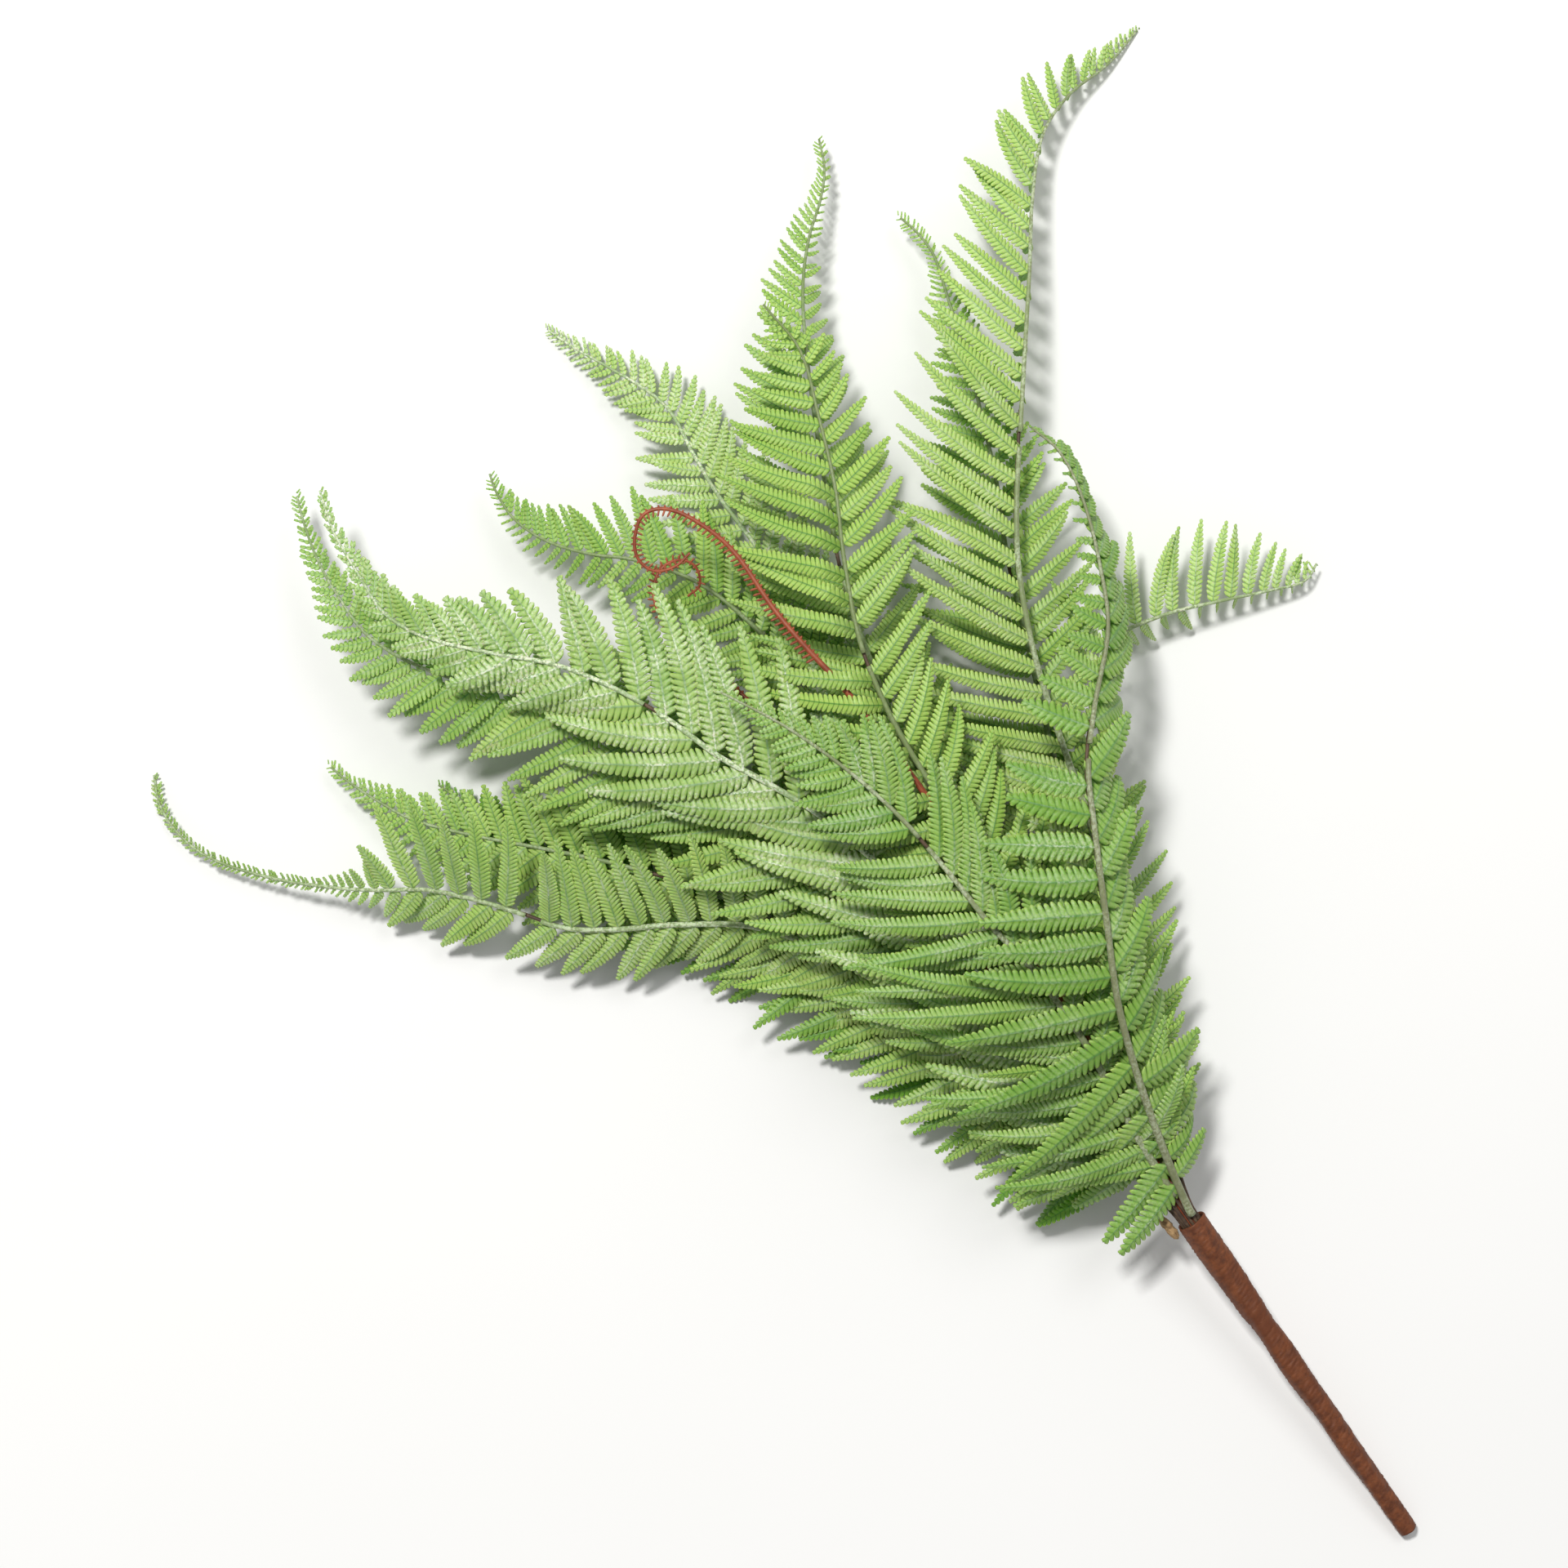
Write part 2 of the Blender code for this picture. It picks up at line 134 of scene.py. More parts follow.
def leafletOutline(count):
    # lobes side by side along both sides of a middle rib
    if count in outlineCache:
        return outlineCache[count]
    index, place, faces = {}, [], []

    def point(side, lobe, r, c):
        column = lobe * (len(lobeColumns) - 1) + c if r < joinedRows else (lobe, c)
        key = (0 if r == 0 else side, r, column)
        if key not in index:
            index[key] = len(place)
            place.append((side, lobe, r, c))
        return index[key]

    for side in (-1, 1):
        for lobe in range(count):
            for r in range(len(lobeRows) - 1):
                for c in range(len(lobeColumns) - 1):
                    quad = [point(side, lobe, r, c), point(side, lobe, r, c + 1),
                            point(side, lobe, r + 1, c + 1), point(side, lobe, r + 1, c)]
                    faces.append(quad if side > 0 else quad[::-1])
    faces = np.array(faces)
    edges = np.concatenate([faces[:, [k, (k + 1) % 4]] for k in range(4)])
    keys = np.sort(edges, axis=1)
    _, first, seen = np.unique(keys, axis=0, return_index=True, return_counts=True)
    rim = edges[first[seen == 1]]
    outlineCache[count] = (np.array(place), faces, rim)
    return outlineCache[count]


leaflet = {
    "lobePitch": (1.75, 2.45),  # least and greatest distance between lobes
    "lobeShare": 0.47,  # that distance as a share of a lobe's length
    "lobeLength": 4.6,  # a lobe of this length has its full relief
    "leanRoot": 24.0,  # lobes lean toward the leaflet's tip, in degrees
    "leanTip": 58.0,
    "leanPower": 5,
    "rootWidth": 0.76,
    "rootStretch": 0.14,  # share of the leaflet over which it widens from its root
    "tipWidth": 0.12,
    "tipPower": 2.7,
    "fewLobes": 3,  # a leaflet with no more lobes than this tapers straight
    "fewWidth": (0.9, 0.35),
    "slowWave": (0.03, 0.7),  # unevenness in width, its size and its step from lobe to lobe
    "quickWave": (0.04, 2.1),
    "lobeSweep": 0.10,
    "thickness": 0.42,
    "edgeThinning": 0.35,
    "bulge": 0.42,
    "fall": 0.20,
}


def leafletWidth(wide, u, count, lobe, side, jitter):
    # length of each lobe, from the share u of the leaflet's length where it stands
    rootShare = between(leaflet["rootWidth"], 1, np.minimum(1, u / leaflet["rootStretch"]))
    width = wide * rootShare * between(leaflet["tipWidth"], 1, 1 - u**leaflet["tipPower"])
    if count <= leaflet["fewLobes"]:
        rootShare, loss = leaflet["fewWidth"]
        width = wide * (rootShare - loss * u)
    quick, slow = leaflet["quickWave"], leaflet["slowWave"]
    return width * (1 + quick[0] * np.sin(lobe * quick[1] + side + jitter)
                    + slow[0] * np.sin(lobe * slow[1] + 3 * jitter))


def leafletShape(length, wide, jitter):
    # a flat leaflet: x along it, y across and z up, how far out on its lobe each point is,
    # and how far to the side of the lobe's middle
    count = max(2, round(length / np.clip(wide * leaflet["lobeShare"], *leaflet["lobePitch"])))
    place, faces, rim = leafletOutline(count)
    side, lobe, r, c = place.T
    pitch = length / count
    share, half, ridge = lobeRows[r].T
    s = lobeColumns[c]
    u = np.clip((lobe + 0.5 + s * 0.5) / count, 0, 1)
    width = leafletWidth(wide, u, count, lobe, side, jitter)
    y = share * width
    lobeLean = between(leaflet["leanRoot"], leaflet["leanTip"], u**leaflet["leanPower"])
    x = (lobe + 0.5 + s * half) * pitch + y * np.tan(np.radians(lobeLean))
    x = x - share * leaflet["lobeSweep"] * pitch * s * s
    relief = np.minimum(1, width / leaflet["lobeLength"])
    z = ridge * relief - leaflet["fall"] * y
    z = z + leaflet["bulge"] * relief * (1 - s * s) * np.sin(np.pi * np.clip(share, 0, 1)) * (r > 0)
    return np.stack([x, y * side, z], axis=1), share, faces, rim, np.abs(s)


centreSteps = 13
archOver = ((0, 5, 10, 42), (0, 0.8, 1, 0))  # distance from the rib, share of the hump's height


def leafletCentre(length, out, ahead, up, lean, rise, droop, curl, twist, hump):
    # the middle line of a leaflet that leaves its rib, with its direction, its side and its top
    t = np.linspace(0, 1, centreSteps + 1)
    inPlane = np.radians(lean + curl * t)
    lift = np.radians(rise - droop * t**1.2)
    flat = np.cos(inPlane)[:, None] * out + np.sin(inPlane)[:, None] * ahead
    along = unit(np.cos(lift)[:, None] * flat + np.sin(lift)[:, None] * up)
    across = unit(np.cross(up, along))
    top = np.cross(along, across)
    turn = np.radians(twist * t)[:, None]
    across, top = (across * np.cos(turn) + top * np.sin(turn),
                   top * np.cos(turn) - across * np.sin(turn))
    steps = (along[1:] + along[:-1]) / 2 * (length / centreSteps)
    middle = np.vstack([np.zeros(3), np.cumsum(steps, axis=0)])
    middle = middle + hump * np.interp(t * length, *archOver)[:, None] * up
    return t, middle, along, across, top


restHeight = 0.3  # points that would dip under the floor lie this high on it, in millimetres
restSlope = 0.02  # and keep this share of their depth, so that no two layers coincide


class Heap:
    # gathers points, faces and per-point values of one piece
    def __init__(self):
        self.points, self.faces, self.values, self.maps, self.count = [], [], {}, [], 0

    def add(self, points, faces, maps, **values):
        self.points.append(points)
        self.faces.append(np.asarray(faces) + self.count)
        self.maps.append(maps)
        for name, value in values.items():
            each = np.broadcast_to(value, (len(points),)).astype(np.float32)
            self.values.setdefault(name, []).append(each)
        self.count += len(points)


cellAspect = 4.5  # cells of the texture map are this much longer than wide
cellMargin = 0.02


def cellOf(chart, charts):
    # left, bottom, width and height of one chart's cell in the unit square
    across = max(1, round(math.sqrt(charts / cellAspect)))
    down = math.ceil(charts / across)
    return (chart % across) / across, (chart // across) / down, 1 / across, 1 / down


def intoCell(flat, chart, charts):
    left, bottom, w, h = cellOf(chart, charts)
    inset = cellMargin + (1 - 2 * cellMargin) * flat
    return inset * (w, h) + (left, bottom)


def addLeaflet(heap, chart, charts, root, way, run, side, length, wide, look):
    out = way.at(run, way.right) * side
    shape, share, faces, rim, lobeSide = leafletShape(length, wide, look["jitter"])
    t, middle, along, across, top = leafletCentre(
        length, out, way.at(run, way.ahead), way.at(run, way.up), look["lean"], look["rise"],
        look["droop"], look["curl"], look["twist"] * side, look["hump"])
    x = shape[:, 0]
    u = np.clip(x / length, 0, 1)
    take = lambda what: np.stack([np.interp(u, t, what[:, k]) for k in range(3)], axis=1)
    normal = take(top)
    base = root + take(middle) + take(along) * (x - u * length)[:, None]
    upper = base + take(across) * shape[:, 1:2] * side + normal * shape[:, 2:3]
    lower = upper - normal * leaflet["thickness"] * (1 - leaflet["edgeThinning"] * share)[:, None]
    n = len(upper)
    outward = faces if side > 0 else faces[:, ::-1]
    wall = np.stack([rim[:, 0], rim[:, 1], rim[:, 1] + n, rim[:, 0] + n], axis=1)
    wall = wall[:, ::-1] if side > 0 else wall
    quads = np.vstack([outward, outward[:, ::-1] + n, wall])
    # the leaflet laid flat, a little smaller than its cell; its top and its back have a cell each
    longest, widest = length * 1.12 + 2, wide * 2.2
    flat = np.stack([np.clip(x / longest, 0, 1), 0.5 + shape[:, 1] / widest], axis=1)
    uv = np.vstack([intoCell(flat, chart * 2 + which, charts) for which in (0, 1)])
    heap.add(np.vstack([upper, lower]), quads, uv, lobeOut=np.tile(share, 2),
             lobeSide=np.tile(lobeSide, 2), under=np.repeat((0.0, 1.0), n), shade=look["shade"],
             frost=look["frost"], ribLine=0.0, isBar=0.0)


def addBar(heap, chart, charts, path, ahead, up, radii, sides, **values):
    # a closed round bar through the points of a path
    right = np.cross(ahead, up)
    turns = np.linspace(0, 2 * np.pi, sides, endpoint=False)
    cos, sin = np.cos(turns)[None, :, None], np.sin(turns)[None, :, None]
    ring = cos * right[:, None] + sin * up[:, None]
    points = (path[:, None] + ring * radii[:, None, None]).reshape(-1, 3)
    n = len(path)
    k = np.arange(sides)
    after = (k + 1) % sides
    quads = [np.stack([i + k, i + after, i + sides + after, i + sides + k], axis=1)
             for i in range(0, (n - 1) * sides, sides)]
    # the ends are fans of triangles, written as quads that name their last point twice
    rootFan = np.stack([np.full(sides, n * sides), after, k, k], axis=1)
    lastRing = (n - 1) * sides
    tipFan = lastRing + np.stack([np.full(sides, sides + 1), k, after, after], axis=1)
    flat = np.stack([np.repeat(np.linspace(cellMargin, 1 - cellMargin, n), sides),
                     np.tile(np.abs(np.linspace(-1, 1, sides)), n)], axis=1)
    left, bottom, w, h = cellOf(chart, charts)
    uv = np.vstack([flat, [[cellMargin, 0.5], [1 - cellMargin, 0.5]]]) * (w, h) + (left, bottom)
    quads = np.vstack(quads + [rootFan, tipFan])
    heap.add(np.vstack([points, path[0], path[-1]]), quads, uv, **values)


def addWire(heap, way, runs, radii, sides, chart=0, charts=1, **values):
    # a bar along a route, with its radius at each run
    path, ahead, up = (way.at(runs, what) for what in (way.points, way.ahead, way.up))
    addBar(heap, chart, charts, path, ahead, up, radii, sides, **values)


def makePiece(name, heap, material, node):
    points = np.vstack(heap.points) + mouth
    depth = points[:, 2] - restHeight
    points[:, 2] = np.where(depth < 0, restHeight + depth * restSlope, points[:, 2])
    faces = np.vstack(heap.faces)
    triangle = faces[:, 2] == faces[:, 3]
    sizes = np.where(triangle, 3, 4)
    keep = np.ones(faces.shape, bool)
    keep[triangle, 3] = False
    loops = faces[keep].astype(np.int32)
    mesh = bpy.data.meshes.new(name)
    mesh.vertices.add(len(points))
    mesh.vertices.foreach_set("co", (points * millimetre).astype(np.float32).ravel())
    mesh.loops.add(len(loops))
    mesh.loops.foreach_set("vertex_index", loops)
    mesh.polygons.add(len(faces))
    starts = np.concatenate([[0], np.cumsum(sizes)[:-1]]).astype(np.int32)
    mesh.polygons.foreach_set("loop_start", starts)
    mesh.polygons.foreach_set("loop_total", sizes.astype(np.int32))
    mesh.polygons.foreach_set("use_smooth", np.ones(len(faces), bool))
    for key, value in heap.values.items():
        layer = mesh.attributes.new(key, "FLOAT", "POINT")
        layer.data.foreach_set("value", np.concatenate(value))
    uvLayer = mesh.uv_layers.new(name="OFBake")
    uvLayer.data.foreach_set("uv", np.vstack(heap.maps)[loops].astype(np.float32).ravel())
    mesh.update(calc_edges=True)
    mesh.validate()
    mesh.materials.append(material)
    piece = bpy.data.objects.new(name, mesh)
    scene.collection.objects.link(piece)
    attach(piece, "root")
    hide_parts(node)


def newGroup(name, inputs, outputs):
    group = bpy.data.node_groups.new(name, "ShaderNodeTree")
    for label, kind, value in inputs:
        socket = group.interface.new_socket(name=label, in_out="INPUT", socket_type=kind)
        socket.default_value = value
    for label, kind in outputs:
        group.interface.new_socket(name=label, in_out="OUTPUT", socket_type=kind)
    return group, group.nodes.new("NodeGroupInput"), group.nodes.new("NodeGroupOutput")


def feed(tree, socket, value):
    # a socket takes either another node's output or a value of its own
    if isinstance(value, bpy.types.NodeSocket):
        tree.links.new(value, socket)
    else:
        socket.default_value = value


def put(tree, kind, **inputs):
    node = tree.nodes.new(kind)
    for name, value in inputs.items():
        feed(tree, node.inputs[name.replace("_", " ")], value)
    return node


def mixColour(tree, share, first, second):
    node = tree.nodes.new("ShaderNodeMix")
    node.data_type = "RGBA"
    for socket, value in ((0, share), (6, first), (7, second)):  # the colour sockets of a Mix node
        feed(tree, node.inputs[socket], value)
    return node.outputs[2]


def sums(tree, how, a, b, clamp=False):
    node = tree.nodes.new("ShaderNodeMath")
    node.operation = how
    node.use_clamp = clamp
    feed(tree, node.inputs[0], a)
    feed(tree, node.inputs[1], b)
    return node.outputs[0]


def times(tree, a, b):
    return sums(tree, "MULTIPLY", a, b)


def plus(tree, a, b):
    return sums(tree, "ADD", a, b)


def inverse(tree, value):
    return sums(tree, "SUBTRACT", 1.0, value)


def attribute(tree, name):
    node = tree.nodes.new("ShaderNodeAttribute")
    node.attribute_name = name
    return node.outputs["Fac"]


def smoothBand(tree, value, low, high):
    node = put(tree, "ShaderNodeMapRange", Value=value, From_Min=low, From_Max=high)
    node.interpolation_type = "SMOOTHSTEP"
    return node.outputs["Result"]


def noise(tree, scale, detail, rough=0.55):
    where = tree.nodes.new("ShaderNodeTexCoord").outputs["Object"]
    cloud = put(tree, "ShaderNodeTexNoise", Vector=where, Scale=scale, Detail=detail, Roughness=rough)
    return cloud.outputs["Fac"]


def bumpOn(tree, shader, strength, distance, height):
    bump = put(tree, "ShaderNodeBump", Strength=strength, Distance=distance, Height=height)
    tree.links.new(bump.outputs["Normal"], shader.inputs["Normal"])


frostLook = {
    "grain": 900.0,
    "patches": 60.0,
    "flat": 0.28,  # bloom on level faces, and how much more there is on raised ones
    "raised": 0.9,
    "everywhere": 0.18,
}


def frostGroup():
    # white bloom rubbed onto raised ribs, broken up by a fine grain
    group, given, result = newGroup(
        "frosting", (("Amount", "NodeSocketFloat", 0.5), ("Raised", "NodeSocketFloat", 0.0)),
        (("Mask", "NodeSocketFloat"),))
    grain = smoothBand(group, noise(group, frostLook["grain"], 3.0), 0.38, 0.62)
    patches = smoothBand(group, noise(group, frostLook["patches"], 3.0), 0.3, 0.62)
    broken = plus(group, times(group, grain, patches), frostLook["everywhere"])
    raised = times(group, given.outputs["Raised"], frostLook["raised"])
    raised = plus(group, raised, frostLook["flat"])
    mask = sums(group, "MULTIPLY", times(group, raised, broken), given.outputs["Amount"], True)
    group.links.new(mask, result.inputs["Mask"])
    return group


def grainGroup():
    # fine pebbling of moulded plastic, as a height
    group, given, result = newGroup(
        "mouldGrain", (("Scale", "NodeSocketFloat", 1400.0),), (("Height", "NodeSocketFloat"),))
    where = group.nodes.new("ShaderNodeTexCoord").outputs["Object"]
    fine = put(group, "ShaderNodeTexNoise", Vector=where, Scale=given.outputs["Scale"], Detail=3.0)
    group.links.new(fine.outputs["Fac"], result.inputs["Height"])
    return group


frosting = frostGroup()
mouldGrain = grainGroup()

leafColours = {
    "green": (0.115, 0.290, 0.018, 1),
    # lighter end of the tone mix: painted light on fronds lying on top, and pale blotches of the
    # plastic
    "light": (0.440, 0.620, 0.140, 1),
    # painted highlight: paler yellow-green toward the lobe tips, as where light shines through the
    # thin plastic
    "rim": (0.560, 0.690, 0.170, 1),
    "midrib": (0.052, 0.200, 0.030, 1),
    # painted shade: dark green in the creases between neighbouring lobes
    "paintedGapShade": (0.035, 0.150, 0.006, 1),
    "frost": (0.730, 0.810, 0.590, 1),
    "bar": (0.190, 0.310, 0.085, 1),
    "barBrown": (0.180, 0.160, 0.090, 1),
    # painted shade: the backs of the leaflets take this darker green
    "under": (0.110, 0.300, 0.020, 1),
}


def startMaterial(name, roughness):
    material = bpy.data.materials.new(name)
    material.use_nodes = True
    tree = material.node_tree
    shader = tree.nodes["Principled BSDF"]
    shader.inputs["Roughness"].default_value = roughness
    return material, tree, shader


leafFinish = {
    "roughness": 0.42,
    "frostRoughness": 0.3,  # more roughness under full bloom
    "specular": 0.35,
    "glow": 0.3,  # light that passes into the plastic, how far, and how much of each colour
    "glowDepth": 0.0014,
    "glowColours": (0.35, 1.0, 0.10),
    "blotches": 45.0,
    "shadeShare": 0.8,
    "blotchShare": 0.25,
    "tipHighlightShare": 0.36,
    "midribShare": 0.9,
    "gapShadeShare": 0.6,
    "backShadeShare": 0.55,
    "veinBloom": 0.75,
    "pebble": (0.18, 0.0004),
}


def leafMaterial():
    material, tree, shader = startMaterial("leafPlastic", leafFinish["roughness"])
    lobeOut, lobeSide = attribute(tree, "lobeOut"), attribute(tree, "lobeSide")
    under, isBar = attribute(tree, "under"), attribute(tree, "isBar")
    lobeIn = inverse(tree, lobeOut)

    def paint(body, mask, share, colour):
        return mixColour(tree, times(tree, mask, share), body, leafColours[colour])

    # painted light: a frond's shade value lightens fronds lying on top and darkens those underneath,
    # over its own tone and random pale blotches
    shade = times(tree, attribute(tree, "shade"), leafFinish["shadeShare"])
    blotches = times(tree, noise(tree, leafFinish["blotches"], 2.0), leafFinish["blotchShare"])
    lightShare = sums(tree, "ADD", shade, blotches, True)
    body = mixColour(tree, lightShare, leafColours["green"], leafColours["light"])
    # painted highlight: lobe tips turn paler yellow-green, as where light shines through the thin
    # plastic
    body = paint(body, smoothBand(tree, lobeOut, 0.7, 1.0), leafFinish["tipHighlightShare"], "rim")
    midrib = smoothBand(tree, lobeIn, 0.86, 1.0)
    body = paint(body, midrib, leafFinish["midribShare"], "midrib")
    # painted shade: darker green in the creases between neighbouring lobes, near the leaflet's middle
    # rib
    paintedGapShade = smoothBand(tree, lobeSide, 0.62, 1.0)
    paintedGapShade = times(tree, paintedGapShade, smoothBand(tree, lobeIn, 0.15, 0.45))
    body = paint(body, paintedGapShade, leafFinish["gapShadeShare"], "paintedGapShade")
    # painted shade: the backs of the leaflets are pulled toward the dark base green
    body = paint(body, under, leafFinish["backShadeShare"], "under")
    brown = attribute(tree, "ribLine")
    barTone = mixColour(tree, brown, leafColours["bar"], leafColours["barBrown"])
    body = mixColour(tree, isBar, body, barTone)

    vein = inverse(tree, smoothBand(tree, lobeSide, 0.1, 0.75))
    vein = times(tree, vein, leafFinish["veinBloom"])
    bloom = tree.nodes.new("ShaderNodeGroup")
    bloom.node_tree = frosting
    raised = sums(tree, "MAXIMUM", sums(tree, "MAXIMUM", midrib, vein), isBar)
    tree.links.new(raised, bloom.inputs["Raised"])
    amount = times(tree, attribute(tree, "frost"), inverse(tree, under))
    tree.links.new(amount, bloom.inputs["Amount"])
    mask = bloom.outputs["Mask"]
    tree.links.new(mixColour(tree, mask, body, leafColours["frost"]), shader.inputs["Base Color"])
    rough = plus(tree, times(tree, mask, leafFinish["frostRoughness"]), leafFinish["roughness"])
    tree.links.new(rough, shader.inputs["Roughness"])
    shader.inputs["Specular IOR Level"].default_value = leafFinish["specular"]
    shader.inputs["Subsurface Weight"].default_value = leafFinish["glow"]
    shader.inputs["Subsurface Radius"].default_value = leafFinish["glowColours"]
    shader.inputs["Subsurface Scale"].default_value = leafFinish["glowDepth"]
    pebble = tree.nodes.new("ShaderNodeGroup")
    pebble.node_tree = mouldGrain
    bumpOn(tree, shader, *leafFinish["pebble"], pebble.outputs["Height"])
    return material


tapeColours = {
    "dark": (0.080, 0.019, 0.004, 1),
    "pale": (0.215, 0.060, 0.015, 1),
    "blot": (0.130, 0.032, 0.007, 1),
    "crest": (0.300, 0.110, 0.040, 1),
}


def tapeMaterial():
    material, tree, shader = startMaterial("woundPaperTape", 0.62)
    turns = attribute(tree, "windAlong")
    fibres = noise(tree, 260.0, 5.0, 0.7)
    blots = smoothBand(tree, noise(tree, 38.0, 3.0), 0.35, 0.75)
    fibreTone = smoothBand(tree, fibres, 0.3, 0.72)
    tone = mixColour(tree, fibreTone, tapeColours["dark"], tapeColours["pale"])
    tone = mixColour(tree, blots, tone, tapeColours["blot"])
    crest = times(tree, smoothBand(tree, turns, 0.55, 1.0), 0.12)
    tone = mixColour(tree, crest, tone, tapeColours["crest"])
    tree.links.new(tone, shader.inputs["Base Color"])
    height = plus(tree, times(tree, fibres, 0.6), times(tree, turns, 0.22))
    bumpOn(tree, shader, 0.55, 0.0005, height)
    return material


def cloudyMaterial(name, dark, pale, roughness, scale, bumpSize):
    material, tree, shader = startMaterial(name, roughness)
    cloud = noise(tree, scale, 4.0, 0.65)
    tone = mixColour(tree, smoothBand(tree, cloud, 0.3, 0.7), dark, pale)
    tree.links.new(tone, shader.inputs["Base Color"])
    bumpOn(tree, shader, 0.4, bumpSize, cloud)
    return material


leafPlastic = leafMaterial()
paperTape = tapeMaterial()
coatedWire = cloudyMaterial(
    "coatedWire", (0.045, 0.026, 0.015, 1), (0.135, 0.080, 0.045, 1), 0.6, 300.0, 0.0003)
youngRed = cloudyMaterial(
    "youngFrondPlastic", (0.200, 0.036, 0.012, 1), (0.400, 0.095, 0.036, 1), 0.48, 160.0, 0.0002)
tornFibre = cloudyMaterial(
    "tornFibre", (0.150, 0.085, 0.035, 1), (0.480, 0.310, 0.150, 1), 0.9, 420.0, 0.0006)
print("materials made")

# One entry for each frond, in millimetres and degrees; pairs are for the left and the right side.
# seat and depth: its wire's place in the bundle and how far it runs into the tape
# cadStart, first: where the solid's moulding and the first leaflets start, after the mouth
# roll: turn of the rib at the cut end and at the tip
# reach, lean, rise, droop, curl: longest leaflet, its angle toward the tip, up and down, its bend
# hump: leaflets on the left arch between these two runs, by this height
# pitch, wide: between the longest leaflets, and how far their lobes stand out
# root, growRun: share of the full length at the mouth, and where leaflets are full length
# rootLean: more lean near the mouth
# tail, power: the last stretch in which leaflets shorten to nothing, and how sharply
# frost, shade, brown: white bloom, dark to light green (own tone, plus painted light: fronds on top
# lighter, those underneath darker), and brown in the rib
commonFrond = dict(cadStart=60, roll=(0, 0), hump=(0, 0, 0), growRun=90, rootLean=0)

